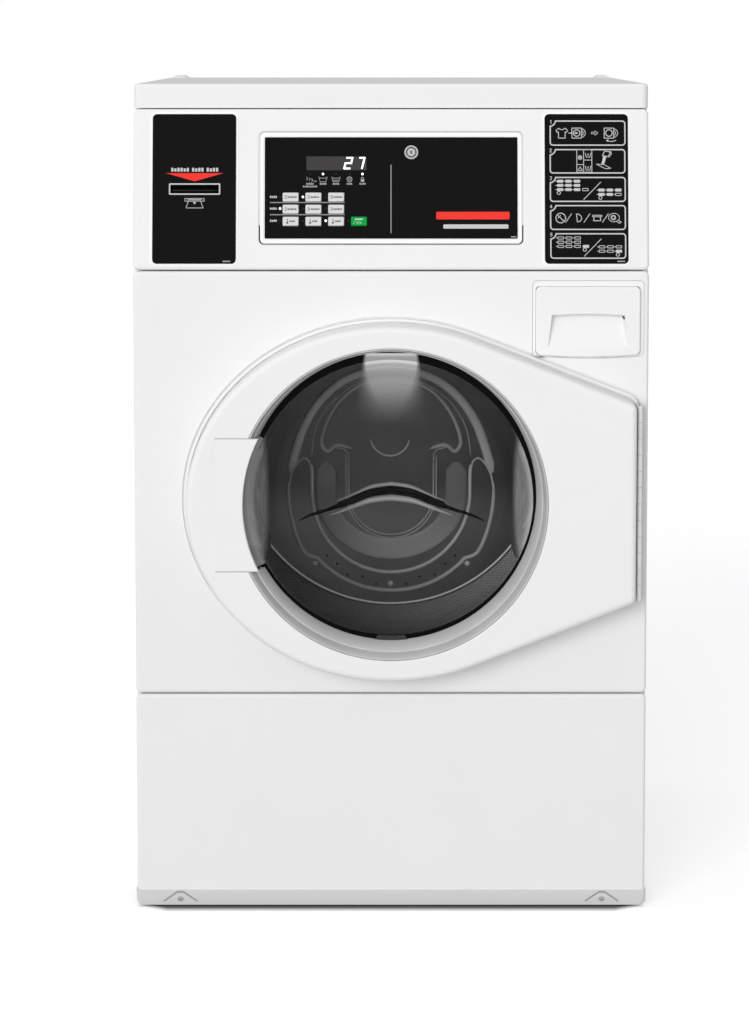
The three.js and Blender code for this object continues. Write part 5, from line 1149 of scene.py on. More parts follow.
def choose_pictogram(ink, filled=True):
    """Keys to press: nine and one, a slash, and six."""
    for v in (27.7, 22.1, 16.5):
        for u in (13.8, 24.8, 36.2):
            key_mark(ink, u, v, filled)
    key_mark(ink, 47.2, 16.5, not filled, tick=False)
    for u in (68.4, 79.6, 90.8):
        for v in (15.9, 10.1):
            last = u > 90 and v < 11
            key_mark(ink, u, v, filled != last)
    ink.stroke([(45, 3.4), (67.6, 26.6)], 0.9)
    for u, v in ((12, 12.2), (67, 5.6)) if filled else ((45.6, 12.2), (89.4, 5.6)):
        ink.ring(u, v, 2.6, 0.9, 16)


def last_pictogram(ink):
    choose_pictogram(ink, filled=False)


def pay_pictogram(ink):
    """Four ways to pay: a disc, a half disc, a card and a fob, with slashes between them."""
    ink.ring(14.2, 16, 7, 1.1, 28)
    ink.stroke([(10.6, 19.6), (14.2, 16), (17.8, 12.4)], 1.1)
    ink.stroke([(10.4, 15.6), (14, 19.6)], 0.8)
    for u in (20.8, 45, 69.4):
        ink.stroke([(u, 10.2), (u + 7.8, 21.8)], 0.9)
    ink.outline([(36.2, 10.8), (35, 21.4), (37.6, 21.2), (41.4, 18.4), (42, 14.6), (39.6, 11.6)], 1)
    ink.frame(rounded(55.8, 69, 17.4, 20, 0.6, 2), 0.8)
    ink.stroke([(58.4, 17.4), (57.6, 12.4), (67.2, 12.4), (66.4, 17.4)], 1)
    ink.outline([(84.6 + 7.2 * math.cos(t), 16.6 + 5.6 * math.sin(t)) for t in full_turn(24)], 0.9)
    ink.ring(83.8, 16.6, 3.4, 1.6, 18)
    ink.stroke([(90, 13.4), (94.4, 10.6), (92, 9), (87.6, 11.8)], 0.9)


# Loading door

# Depth of the door's face, radius of its window, and the grip's half height, left edge and inner radius
DOOR_FRONT, WINDOW = -58, 207
GRIP_HALF, GRIP_LEFT, GRIP_INNER = 88, -231.2, 195


def window_hole(inset=0):
    """The round window with the notch of the grip, counterclockwise from the notch's lower end."""
    radius, rise = WINDOW - inset, GRIP_HALF + 0.5 - inset
    start = math.asin(rise / radius)
    points = [(radius * math.cos(turn), radius * math.sin(turn))
              for turn in np.linspace(-math.pi + start, math.pi - start, 181)]
    points += [(GRIP_LEFT, rise), (GRIP_LEFT, 0), (GRIP_LEFT, -rise)]
    return [(x, AXIS + z) for x, z in points]


def door_frame():
    """Face of the door, with a rounded edge and the hole of the window."""
    form = Form()
    outer = form.chain(door_outline(), [(0, -24), *edge_round(8, DOOR_FRONT, 12)])
    hole = form.chain(window_hole, [(-1.8, DOOR_FRONT), (-1.2, DOOR_FRONT), (-0.5, -57.7), (0, -56.9), (0, -30)])
    form.cap(outer[-1], hole[0])
    form.piece("door_face", DOOR_WHITE, "loading_door", "white_plastic", ["door_frame"],
               wall=3, outward=(0, -1, 0))


def door_liner():
    """Back of the door, turned in at its edge and open where the glass stands."""
    form = Form()
    turned_in = [(4 * (1 - math.cos(t)), -12.6 + 4 * math.sin(t)) for t in np.linspace(0, math.pi / 2, 8)]
    outer = form.chain(door_outline(-0.3), [(0, -23.7), *turned_in, (4.8, -8.6)])
    mouth = form.chain(circle(189.6), [(-0.8, -8.6), (0, -9.4), (0, -11.4), (-9.9, -11.4), (-9.9, -23.7)])
    form.cap(outer[-1], mouth[0])
    form.piece("door_back", MOULDED_WHITE, "loading_door", "white_plastic", ["door_liner"],
               wall=1.2, outward=(0, 1, 0))


def grip():
    """Insert to the left of the window, straight outside and round inside."""
    def outline(inset=0):
        rise, radius = GRIP_HALF - inset, GRIP_INNER + inset
        angle = math.asin(rise / radius)
        inner = [(radius * math.cos(t), radius * math.sin(t))
                 for t in np.linspace(math.pi - angle, math.pi + angle, 41)]
        left = GRIP_LEFT + 0.02
        return [(x, AXIS + z) for x, z in [(left, -rise), (left, 0), (left, rise), *inner]]
    form = Form()
    loops = form.chain(outline, [(0, -49.5), (0, -56.6), (0.25, -57.3), (0.8, -57.8), (1.5, DOOR_FRONT),
                                 (2.2, DOOR_FRONT)])
    form.cap(loops[0])
    form.cap(loops[-1])
    form.piece("grip_insert", DOOR_WHITE, "loading_door", "white_plastic", ["door_handle"], outward=(0, -1, 0))


def window_trim():
    """Silver funnel in two steps: it runs down to the glass a little above the window's middle."""
    ring_piece("silver_rim", SILVER_OUTER, [
        (206.6, -50), (206.6, -56.2), (206.1, -56.9), (205.3, -57), (204.8, -56.4), (200, -42.5), (200, -41),
        (204.2, -49), (204.6, -50)])
    ring_piece("silver_funnel", SILVER, [
        (200.2, -43.2), (199.5, -43.6), (198.6, -42.6), (194.2, -26.4), (192.8, -20.4), (192.4, -18.2), (193, -17.6),
        (199, -17.4), (199, -19.6), (194.8, -20.6), (200.2, -41.4)], ["window_trim"])
    glass_edge()
    tab = Form()
    half = [(17, 185.4), (23.5, 192.5), (20, 194.4)]
    front = [*[(-u, v) for u, v in half], *half[::-1], (9, 186.4), (-9, 186.4)]
    tab.rod([tab.loop([(u, depth, AXIS + LIP_RISE - v) for u, v in front]) for depth in (-17.7, -19.8, -20.6)])
    tab.piece("window_seal_tab", BLACK_MOULDING, "loading_door", "dark_glass", outward=(0, -1, 0))


# How far the funnel's inner lip stands above the axis
LIP_RISE = 6.4


def glass_edge():
    """Black border on the glass, broader at its foot, where the seal stands. At its top the black is painted shade,
    where the funnel's upper wall lies in shadow.
    """
    form = Form()
    outer, count, front, rear = 198.6, 220, -17.6, -17.1
    start = math.asin((GRIP_HALF + 0.5) / outer)
    turns = np.linspace(-math.pi + start, math.pi - start, count)
    inner = [188.4 - 9 * max(0, -math.sin(turn)) ** 1.5 for turn in turns]
    sides = ((inner, front), ([outer] * count, front), ([outer] * count, rear), (inner, rear))
    form.tube([form.loop([(radius * math.cos(turn), depth, AXIS + radius * math.sin(turn))
                          for radius, turn in zip(radii, turns)]) for radii, depth in sides], closed=False)
    form.piece("glass_border", GLASS_BORDER, "loading_door", "silver_trim", angle=40)


def ring_piece(name, finish, profile, replaces=()):
    """An open ring of the window, cut off where the grip stands, with closed ends."""
    form = Form()
    loops = []
    for radius, depth in profile:
        lift = LIP_RISE * min(1, max(0, (depth + 57) / 36))
        low = math.asin((GRIP_HALF + 0.5 + lift) / radius)
        high = math.asin((GRIP_HALF + 0.5 - lift) / radius)
        loops.append(form.loop([(radius * math.cos(turn), depth, AXIS + lift + radius * math.sin(turn))
                                for turn in np.linspace(-math.pi + low, math.pi - high, 220)]))
    form.tube(loops, closed=False)
    form.piece(name, finish, "loading_door", "silver_trim", replaces, angle=40)


def smooth_line(points, steps):
    """A curve through points, by the plain rule of Catmull and Rom."""
    ends = [points[0], *points, points[-1]]
    line = []
    for p0, p1, p2, p3 in zip(ends, ends[1:], ends[2:], ends[3:]):
        a, b, c, d = (np.array(p, float) for p in (p0, p1, p2, p3))
        for t in np.linspace(0, 1, steps, endpoint=False):
            line.append(tuple(0.5 * (2 * b + (c - a) * t + (2 * a - 5 * b + 4 * c - d) * t * t
                                     + (3 * b - a - 3 * c + d) * t ** 3)))
    return line + [tuple(points[-1])]


def glass_bowl():
    """Bowl of glass with an even wall."""
    form = Form()
    front = smooth_line([(199, -17), (190, -17), (184.5, -15), (181, -8), (176, 14), (171, 40), (163, 63),
                         (147, 77), (110, 81.5), (60, 82), (0.001, 82)], 5)
    rear = smooth_line([(199, -12.2), (192, -12.2), (188.6, -9.8), (186, -3), (181, 20), (176, 44), (167, 68),
                        (150, 82), (112, 86.5), (60, 87), (0.001, 87)], 5)
    turned(form, [*front, *rear[::-1], front[0]], count=160)
    tidy_faces(form).piece("glass_bowl", BOWL_GLASS, "loading_door", "dark_glass", ["door_glass"], angle=50)


def hinge():
    """Two leaves on two bodies, with six knuckles each that stand in turn along one line."""
    x, y, radius, half, count, play = 327.7, -40, 3.2, 130, 12, 0.3
    pitch = 2 * half / count
    low, high = AXIS - half, AXIS + half
    outside, inner = x - radius, x + radius - 1.6
    leaves = (("door", "loading_door", [(outside, outside + 1.4, y + 2.4, -15)]),
              ("cabinet", "cabinet", [(inner, inner + 1.6, y + 2.2, -6.3), (inner - 40, inner + 1, -8, -6.3)]))
    for (name, body, sheets), first in zip(leaves, (1, 0)):
        form = Form()
        for index in range(first, count, 2):
            start, end = low + index * pitch + play / 2, low + (index + 1) * pitch - play / 2
            raised(form, [(0, start), (radius - 0.3, start), (radius, start + 0.3), (radius, end - 0.3),
                          (radius - 0.3, end), (0, end)], x, y, 24)
        for sheet in sheets:
            form.block(*sheet, low, high)
        tidy_faces(form).piece(f"hinge_{name}_leaf", HINGE_GREY, body, "hinge_grey", [f"{name}_hinge_leaf"])


# Drum

# Turn of the first lifter, depth of the drum's back, and the middle of its beads below the axis
LIFTER_TURN, BACK_Y, BEAD_MIDDLE = 180, 458, -59.5


def drum_shell():
    """Basket: rolled lip, flared front, wall, and three lifters inside."""
    form = Form()
    lip = [(197 + 3.4 * math.cos(t), 47 + 4 * math.sin(t)) for t in np.linspace(0.6, 2 * math.pi - 0.9, 14)]
    front = smooth_line([(199, 44.6), (225, 48), (252, 56.5), (263, 66), (DRUM_RADIUS, 90)], 5)
    wall = [(DRUM_RADIUS, depth) for depth in range(120, 400, 40)]
    back = smooth_line([(DRUM_RADIUS, 400), (262, 425), (252, 446), (238, 456), (229, 459)], 5)
    turned(form, [*lip, *front, *wall, *back], count=192)
    form.piece("drum_wall", DRUM_MESH, "drum", "stainless", ["drum_basket"], wall=1.6, outward=(0, 1, 0.1))
    rim = Form()
    turned(rim, [(196.2 + 2.6 * math.cos(t), 44 + 2.6 * math.sin(t)) for t in np.linspace(0, 2 * math.pi, 17)],
           count=192)
    rim.piece("drum_lip_bead", BRIGHT_STEEL, "drum", "stainless")
    for index in range(3):
        lifter(index)
    drum_back()


def lifter(index):
    """A rounded rib along the wall of the drum."""
    form = Form()
    half = [(-40, 2), (-30, 8), (-17, 40), (-10, 60)]
    section = smooth_line([*half, (0, 64), *[(-u, v) for u, v in half[::-1]]], 4)
    rows = []
    for share, depth in zip(np.linspace(0, 1, 15), np.linspace(92, 438, 15)):
        swell = math.sin(math.pi * min(max(share, 0.02), 0.98)) ** 0.28
        rows.append(form.flat([(u * (0.35 + 0.65 * swell), -262 + (v - 2) * swell) for u, v in section], depth))
    form.rod(rows, closed=False)
    turn = math.radians(LIFTER_TURN + 120 * index)
    form.corners = [(x * math.cos(turn) - z * math.sin(turn), y, AXIS + x * math.sin(turn) + z * math.cos(turn))
                    for x, y, z in form.corners]
    form.piece(f"lifter_{index + 1}", STAINLESS, "drum", "stainless", angle=45)


def mirrored(points):
    """A line and its mirror image, from left to right."""
    return points + [(-x, z) for x, z in points[::-1]]


def u_line(wide, deep, top):
    """A U: two upright legs that end in half an ellipse about the beads' middle."""
    leg = np.linspace(top, BEAD_MIDDLE, 8, endpoint=False)
    bow = [(-wide * math.cos(t), BEAD_MIDDLE - deep * math.sin(t)) for t in np.linspace(0, math.pi, 60)]
    return [*[(-wide, z) for z in leg], *bow, *[(wide, z) for z in leg[::-1]]]


def drum_back():
    """Pressed back of the basket, with its raised beads."""
    form = Form()
    edge = [(229.6, 1), (229.4, 0), (228.6, -1.6), (227.6, -1.8), (226.6, 0), (150, 0), (80, 0), (0, 0)]
    turned(form, [(radius, BACK_Y + rise) for radius, rise in edge], count=192)
    tidy_faces(form).piece("drum_back_plate", DRUM_BACK, "drum", "stainless", wall=1.6, outward=(0, -1, 0))
    bead("bead_u_inner", u_line(62.6, 63, -6), 2, 1.8, BRIGHT_STEEL)
    bead("bead_u_double", u_line(66.8, 68, -3), 2, 1.8, BRIGHT_STEEL)
    bead("bead_u_broad", u_line(96.5, 84, -14), 32, 3.4, BROAD_STEEL, 0.35)
    bead("bead_u_line", u_line(117, 119.5, -18), 5.6, 2.8, BRIGHT_STEEL)
    # The arch is a painted reflection: a near-black bead, with two glowing bright beads along its edges, laid over the
    # other beads
    arch_line = [(-138, -102), (-117, -92.5), (-90, -83.5), (-62, -73), (-31, -60.5), (0, -56)]
    for name, first, drop, wide, high, finish in (("shade", 0, 0, 12, 5, DEEP_SHADE),
                                                  ("upper", 2, 9.6, 5.5, 4.8, LIT_EDGE),
                                                  ("lower", 2, -11.6, 9, 4.8, LIT_EDGE)):
        half = [(x * (1 - drop * 0.006), z + drop) for x, z in arch_line[first:]]
        half[-1] = (-0.01, half[-1][1])
        bead(f"bead_arch_{name}", smooth_line(mirrored(half), 5), wide, high, finish, pointed=True)
    outer = [(-152, -44), (-151, -80), (-142, -120), (-128, -150)]
    low = [(148 * math.sin(t), BEAD_MIDDLE - 147 * math.cos(t)) for t in np.linspace(math.radians(-48), 0, 20)]
    bead("bead_u_outer", smooth_line(mirrored(outer + low), 3), 6, 2.8, BEAD_STEEL)
    dome = [(-58, 6), (-80, 12), (-94, 2), (-103, 14), (-98, 38), (-84, 66), (-62, 90), (-34, 105), (0, 111)]
    bead("bead_dome", smooth_line(mirrored(dome), 5), 6, 3, BEAD_STEEL)
    arch = [(-150, -30), (-140, 6), (-126, 44), (-104, 78), (-72, 106), (-36, 120), (0, 124.5)]
    bead("bead_arch_outer", smooth_line(mirrored(arch), 5), 14, 3.6, BEAD_STEEL, 0.6)
    inner = [(-118, -6), (-112, 34), (-94, 68), (-68, 92), (-36, 108), (0, 113.5)]
    bead("bead_arch_line", smooth_line(mirrored(inner), 5), 1.6, 1.2, BRIGHT_STEEL)
    bead("bead_hub", arc(-1.6, 24.5, 29, 190, 350, 29), 3, 2, BRIGHT_STEEL)
    bead("back_edge_line", arc(0, 0, 226, 0, 360, 159), 3, 1.8, LIT_EDGE)
    back_sides()


def back_sides():
    """Ears, steps and rivets at both sides of the drum's back, and the drain holes round its foot."""
    for side, name in ((-1, "left"), (1, "right")):
        ear = [(side * x, z) for x, z in ((152, -58), (147, -30), (132, -9), (121, -14), (118, -36))]
        bead(f"bead_ear_{name}", smooth_line(ear, 5), 3, 2, BRIGHT_STEEL)
        step = [(side * x, z) for x, z in ((64, -12), (63, -2), (70, 5), (92, 10))]
        bead(f"bead_step_{name}", smooth_line(step, 5), 1.6, 1.2, BRIGHT_STEEL)
        rivet(f"rivet_{name}", side * 113, -166)
    rivet("rivet_middle", -1, -196)
    holes = Form()
    for degrees in (-44, -36, -27, -18, -9, 9, 18, 27, 36, 44):
        turn = math.radians(degrees)
        radius = 137 + 6 * (abs(degrees) % 2)
        turned(holes, [(0, BACK_Y - 0.4), (1.7, BACK_Y - 0.4), (1.7, BACK_Y + 0.2), (0, BACK_Y + 0.2)],
               radius * math.sin(turn), AXIS + BEAD_MIDDLE - radius * math.cos(turn) + 4, 12)
    tidy_faces(holes).piece("back_drain_holes", BLACK_MOULDING, "drum", "stainless")


def bead(name, line, wide, high, finish, blunt=1.0, pointed=False):
    """A raised bead along a line on the drum's back, rounded across; a low blunt value flattens its top."""
    form = Form()
    across = [(math.copysign(abs(math.cos(t)) ** blunt, math.cos(t)), math.sin(t) ** blunt)
              for t in np.linspace(0, math.pi, 13)]
    last = len(line) - 1
    rows = []
    for index, (x, z) in enumerate(line):
        (x0, z0), (x1, z1) = line[max(index - 1, 0)], line[min(index + 1, last)]
        along = Vector((x1 - x0, z1 - z0)).normalized()
        end = min(index, last - index)
        taper = min(1, 0.35 + 0.3 * end)
        spread = wide / 2 * (min(1, 0.1 + 3 * end / len(line)) if pointed else taper)
        rows.append(form.loop([(x - along.y * u * spread, BACK_Y + 0.6 - (v * high + 0.3) * taper,
                                AXIS + z + along.x * u * spread) for u, v in across]))
    form.rod(rows, closed=False)
    form.piece(name, finish, "drum", "stainless", angle=60)


def rivet(name, x, z):
    """A domed rivet on the drum's back."""
    form = Form()
    turned(form, [(0, BACK_Y - 2.2), (2, BACK_Y - 2), (3.4, BACK_Y - 1.2), (4, BACK_Y + 0.3)], x, AXIS + z, 24)
    tidy_faces(form).piece(name, BRIGHT_STEEL, "drum", "stainless")


# Soft pieces

def gasket():
    """Rubber bellows from the front panel's neck to the tub's neck."""
    form = Form()
    line = smooth_line([(213.4, 1.2), (211.6, 6.4), (207.4, 9.4), (200, 7.6), (192.6, 2.2), (191, 0.8),
                        (190.2, 2), (192, 5.2), (199.6, 11.4), (202.6, 15.4), (206, 19.2), (213, 20.6),
                        (217.6, 22.2), (218, 25), (214.6, 26.6), (214.4, 32.2)], 6)
    inner = []
    for index, (radius, depth) in enumerate(line):
        r0, d0 = line[max(index - 1, 0)]
        r1, d1 = line[min(index + 1, len(line) - 1)]
        along = Vector((r1 - r0, d1 - d0)).normalized()
        inner.append((radius + along.y * 1.1, depth - along.x * 1.1))
    turned(form, [*line, *inner[::-1], line[0]], count=160)
    made = form.piece("bellows", GREY_RUBBER, None, "grey_rubber", ["door_gasket"])
    spot(0, 10, AXIS)
    spot(0, 30, AXIS)
    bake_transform(made)


def wire(form, points, radius, sides):
    """A round wire through points, carried along without twist."""
    path = [Vector(point) for point in points]
    last = len(path) - 1
    normal = Vector((0.3, 0.2, 1))
    rows = []
    for index, point in enumerate(path):
        along = (path[min(index + 1, last)] - path[max(index - 1, 0)]).normalized()
        normal = (normal - along * normal.dot(along)).normalized()
        other = along.cross(normal)
        rows.append(form.loop([point + normal * radius * math.cos(t) + other * radius * math.sin(t)
                               for t in full_turn(sides)]))
    form.rod(rows)


def spring(side, name):
    """A coil with a hook at each end, between the tub's eye and the cabinet's."""
    x, y, low_hook, high_hook, radius, gauge = 290, 280, 775, 968, 14, 2
    bend = 1.7 + radius
    low, high = low_hook + bend + 7, high_hook - bend - 7
    turns = 9.5
    low_arc = [(0, radius * math.cos(t), low_hook + bend - radius * math.sin(t))
               for t in np.linspace(math.pi, 0, 14)]
    coil = [(radius * math.cos(t), radius * math.sin(t), low + (high - low) * share)
            for share in np.linspace(0, 1, 300)
            for t in [math.pi / 2 + 2 * math.pi * turns * share]]
    high_arc = [(0, -radius * math.cos(t), high_hook - bend + radius * math.sin(t))
                for t in np.linspace(0, math.pi, 14)]
    form = Form()
    wire(form, [(side * (x + u), y + v, w) for u, v, w in (*low_arc, *coil, *high_arc)], gauge, 14)
    made = form.piece(f"hanging_spring_{name}", ZINC, None, "zinc_steel", [f"spring_{name}"])
    spot(side * x, y, low)
    spot(side * x, y, high)
    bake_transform(made)


def springs():
    spring(-1, "left")
    spring(1, "right")


def hose():
    """Ribbed drain hose between the tub's sump and the pump."""
    form = Form()
    x, y, low, high = 150, 120, 106, 264
    start, end, waves, sides, bore = 127, 247, 9, 48, 16.4
    ribs = [(21.6 - 2.2 * math.cos(2 * math.pi * waves * share), start + (end - start) * share)
            for share in np.linspace(0, 1, waves * 12 + 1)]
    rings = raised(form, [(19.6, low), (19.9, low + 1), (19.9, start - 4), *ribs, (19.9, end + 4), (19.9, high - 1),
                          (19.6, high)], x, y, sides)
    inside = [form.level(circle(bore, x, y, sides)(), height) for height in (low, high)]
    form.bands([rings[0], *inside, rings[-1]])
    for height in (116, 254):
        raised(form, [(20.6, height - 4), (21.3, height - 4), (21.3, height + 4), (20.6, height + 4)], x, y, sides,
               closed=True)
    made = form.piece("drain_hose_ribbed", BLACK_RUBBER, None, "grey_rubber", ["drain_hose"])
    spot(x, y, 132)
    spot(x, y, 242)
    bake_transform(made)


def drive_belt():
    """Ribbed belt round the drum's pulley and the motor's."""
    big, small, low_z, front, wide = 155.2, 17.2, 165, 619, 20
    tilt = math.asin((big - small) / (AXIS - low_z))

    def outline(grow=0):
        upper = [((big + grow) * math.cos(t), AXIS + (big + grow) * math.sin(t))
                 for t in np.linspace(-tilt, math.pi + tilt, 120)]
        lower = [((small + grow) * math.cos(t), low_z + (small + grow) * math.sin(t))
                 for t in np.linspace(math.pi + tilt, 2 * math.pi - tilt, 32)]
        return upper + lower

    form = Form()
    section = [(front, 3.4), (front + 0.6, 3.9), (front + wide - 0.6, 3.9), (front + wide, 3.4)]
    for rib in range(5, 0, -1):
        start = front + wide * (rib - 1) / 5
        section += [(start + 3.9, 1.5), (start + 3.0, 0.2), (start + 1.0, 0.2), (start + 0.1, 1.5)]
    form.tube([form.flat(outline(grow), depth) for depth, grow in section])
    form.piece("ribbed_belt", BLACK_RUBBER, "tub", "grey_rubber", ["drive_belt"])


# Drawer

# Left, right, low and high edge of the drawer's face, and its depth
DRAWER_BOX, DRAWER_FRONT = (191.6, 329.7, 747.6, 841), -5


def drawer():
    """Face of the detergent drawer, with the finger scoop that is pressed into it."""
    left, right, low, high = DRAWER_BOX
    form = Form()
    outer = form.chain(bowed(left, right, low, high, 6.5), [(0, 10), *edge_round(1.7, DRAWER_FRONT, 8)])
    top, foot, scoop_left, scoop_right, flare = 803.2, 760.6, 212.5, 309.1, 5
    columns = [0, 0.004, 0.012, 0.03, 0.06, *np.linspace(0.1, 0.9, 12), 0.94, 0.97, 0.988, 0.996, 1]
    rows = []
    for share in np.linspace(0, 1, 22):
        depth = DRAWER_FRONT + 13 * (1 - share ** 1.6) ** 0.9 if share < 1 else DRAWER_FRONT
        start, wide = scoop_left - flare * share, scoop_right - scoop_left + 2 * flare * share
        row = []
        for column in columns:
            bowl = min(min(column, 1 - column) / 0.034, 1)
            rise = 2 * (1 - (2 * column - 1) ** 2) * (1 - share) ** 2
            row.append((start + wide * column, DRAWER_FRONT + (depth - DRAWER_FRONT) * (1 - (1 - bowl) ** 2.4),
                        top - (top - foot) * share + rise))
        rows.append(form.loop(row))
    form.bands(rows, closed=False)
    roof = form.loop([(form.corners[corner][0], DRAWER_FRONT, form.corners[corner][2]) for corner in rows[0]])
    form.band(roof, rows[0], closed=False)
    border = [*roof, *[row[-1] for row in rows[1:-1]], *rows[-1][::-1], *[row[0] for row in rows[1:-1]][::-1]]
    form.cap(outer[-1], border)
    form.cap(outer[0])
    form.piece("drawer_face", DRAWER_WHITE, "drawer", "white_plastic", ["dispenser_drawer"], outward=(0, -1, 0),
               angle=40)
    # painted shade: a black spot in the scoop's upper right corner, where shadow gathers
    dark = Form()
    near = [(305.4, 802.6), (307.6, 802.2), (309.4, 798.6), (307.6, 797.4)]
    dark.rod([dark.flat(near, DRAWER_FRONT + lift) for lift in (4, 1.2)])
    dark.piece("scoop_corner_painted_shade", BLACK_MOULDING, "drawer", "dark_glass")
    drawer_tray()


def drawer_tray():
    """Tray behind the face, with three cups side by side."""
    tray = Form()
    x0, x1, y0, y1, z0, z1, wall, divider = DRAWER_BOX[0] + 5, DRAWER_BOX[1] - 5, 9.5, 186, 794, 835, 2.5, 2
    room = (x1 - x0 - 2 * wall - 2 * divider) / 3
    body = tray.stack(rounded(x0, x1, y0, y1, 3, 4), [(2, z0), (0.6, z0 + 0.6), (0, z0 + 2), (0, z1 - 0.8), (0.8, z1)])
    tray.cap(body[0])
    cups = []
    for index in range(3):
        start = x0 + wall + index * (room + divider)
        rings = tray.stack(rounded(start, start + room, y0 + 2.5, y1 - wall, 3, 4),
                           [(0, z1), (0, z0 + 6), (1, z0 + 3.4), (3, z0 + 2.5)])
        tray.cap(rings[-1])
        cups.append(rings[0])
    tray.cap(body[-1], *cups)
    tray.piece("drawer_tray", DRAWER_WHITE, "drawer", "white_plastic", outward=(0, 0, 1))


def housing():
    """Bezel round the drawer, and the sleeve that the drawer slides in."""
    left, right, low, high = 187.5, 334.9, 745.7, 848.6
    form = Form()
    outer = form.chain(bowed(left, right, low, high, 5.7), [(0, 29), (0, 1.2), (0.2, 0.7), (0.7, 0.6), (1.2, 0.6)])
    inner = form.chain(bowed(190.6, 330.7, 746.8, 842, 6), [(-0.2, 0.6), (0.5, 0.7), (0.8, 1.2), (0.8, 26)])
    form.cap(outer[-1], inner[0])
    form.piece("drawer_bezel", DRAWER_WHITE, "cabinet", "white_plastic", ["dispenser_housing"],
               wall=0.4, outward=(0, -1, 0))
    sleeve = Form()
    near, rear, floor, wall = 26.5, 206, 790.7, 2.5
    a, b, c = left + wall, right - wall, rear - wall
    for box in ((left, right, c, rear, floor, high), (left, a, near, c, floor, high), (b, right, near, c, floor, high),
                (a, b, near, c, high - wall, high), (a, b, near, c, floor, floor + 2.4),
                (left, right, near, near + wall, low + BOW, floor + 2.4)):
        sleeve.block(*box)
    sleeve.piece("drawer_sleeve", DRAWER_WHITE, "cabinet", "white_plastic")


def feet():
    """Four levelling feet: a rubber pad and a threaded stem."""
    thread = [(5 - 0.45 * (0.5 + 0.5 * math.cos(2 * math.pi * z / 1.5)), z) for z in np.arange(7.8, 64, 0.375)]
    for index, (x, y) in enumerate(((-296, 72), (296, 72), (-296, 655), (296, 655)), 1):
        form = Form()
        raised(form, [(0, 0), (20.5, 0), (21.6, 0.5), (22, 1.6), (22, 5.4), (21.4, 6.6), (19.8, 7.4), (17, 7.7),
                      (9, 7.7), (9, 7.8), (5, 7.8)], x, y, 48)
        raised(form, [*thread, (4.4, 64), (0, 64)], x, y, 24)
        tidy_faces(form).piece(f"levelling_foot_{index}", BLACK_RUBBER, f"levelling_foot_{index}", "grey_rubber",
                               [f"foot_{index}"])


# Inner pieces that keep their CAD shape

INNER = ("base_frame", "rear_panel", "cabinet_wrap", "door_lock", "door_strike", "water_valve", "drain_pump", "motor",
         "motor_pulley", "drum_pulley", "drum_shaft", "bearing_front", "bearing_rear", "tub_front", "tub_rear",
         "counterweight", "damper_tube_left", "damper_tube_right", "damper_rod_left", "damper_rod_right",
         "control_board")


def rounded_shading():
    """Node group that shades curved faces smooth and keeps edges over 35 degrees sharp."""
    group = bpy.data.node_groups.new("rounded_shading", "GeometryNodeTree")
    group.interface.new_socket("Geometry", in_out="INPUT", socket_type="NodeSocketGeometry")
    group.interface.new_socket("Geometry", in_out="OUTPUT", socket_type="NodeSocketGeometry")
    start, end = group.nodes.new("NodeGroupInput"), group.nodes.new("NodeGroupOutput")
    smooth, sharp = (group.nodes.new("GeometryNodeSetShadeSmooth") for _ in range(2))
    sharp.domain = "EDGE"
    sharp.inputs["Shade Smooth"].default_value = False
    angle, over = group.nodes.new("GeometryNodeInputMeshEdgeAngle"), group.nodes.new("FunctionNodeCompare")
    over.operation = "GREATER_THAN"
    over.inputs[1].default_value = math.radians(35)
    link = group.links.new
    link(angle.outputs["Unsigned Angle"], over.inputs[0])
    link(over.outputs[0], sharp.inputs["Selection"])
    link(start.outputs[0], smooth.inputs["Geometry"])
    link(smooth.outputs[0], sharp.inputs["Geometry"])
    link(sharp.outputs[0], end.inputs[0])
    return group


def dress_inner_pieces():
    """Broken edges and smooth curves on the nodes that keep their CAD mesh."""
    shading = rounded_shading()
    for name in INNER:
        node = frame["nodes"][name]
        edge = node.modifiers.new("broken_edges", "BEVEL")
        edge.width = 0.0006
        edge.segments = 2
        edge.limit_method = "ANGLE"
        edge.angle_limit = math.radians(40)
        edge.use_clamp_overlap = True
        node.modifiers.new("rounded_shading", "NODES").node_group = shading


# Room

def camera():
    """Camera that fits the photo's outline: 4 m away, 1.165 m up, looking a little down."""
    data = bpy.data.cameras.new("front_camera")
    made = in_scene("front_camera", data)
    distance, height, pitch, focal, shift, picture = 4000, 1165.1, 5.41, 3033.8, -16.6, 1024
    made.location = spot(0, -distance, height)
    made.rotation_euler = (math.radians(90 - pitch), 0, 0)
    data.sensor_width = 36
    data.lens = focal * data.sensor_width / picture
    data.shift_x, data.shift_y = shift / picture, -0.18
    data.clip_end = 60
    bpy.context.scene.camera = made


# Strength of the air's light, of the floor's light, of the floor as it is seen, and of the front light
AIR_LEVEL, FLOOR_LEVEL, FLOOR_LIFT, SUN_SHARE = 0.58, 0.34, 0.38, 0.585

# Rays that see the white room itself, and not only its light
SEEN_RAYS = ("Is Camera Ray", "Is Transmission Ray", "Is Glossy Ray")


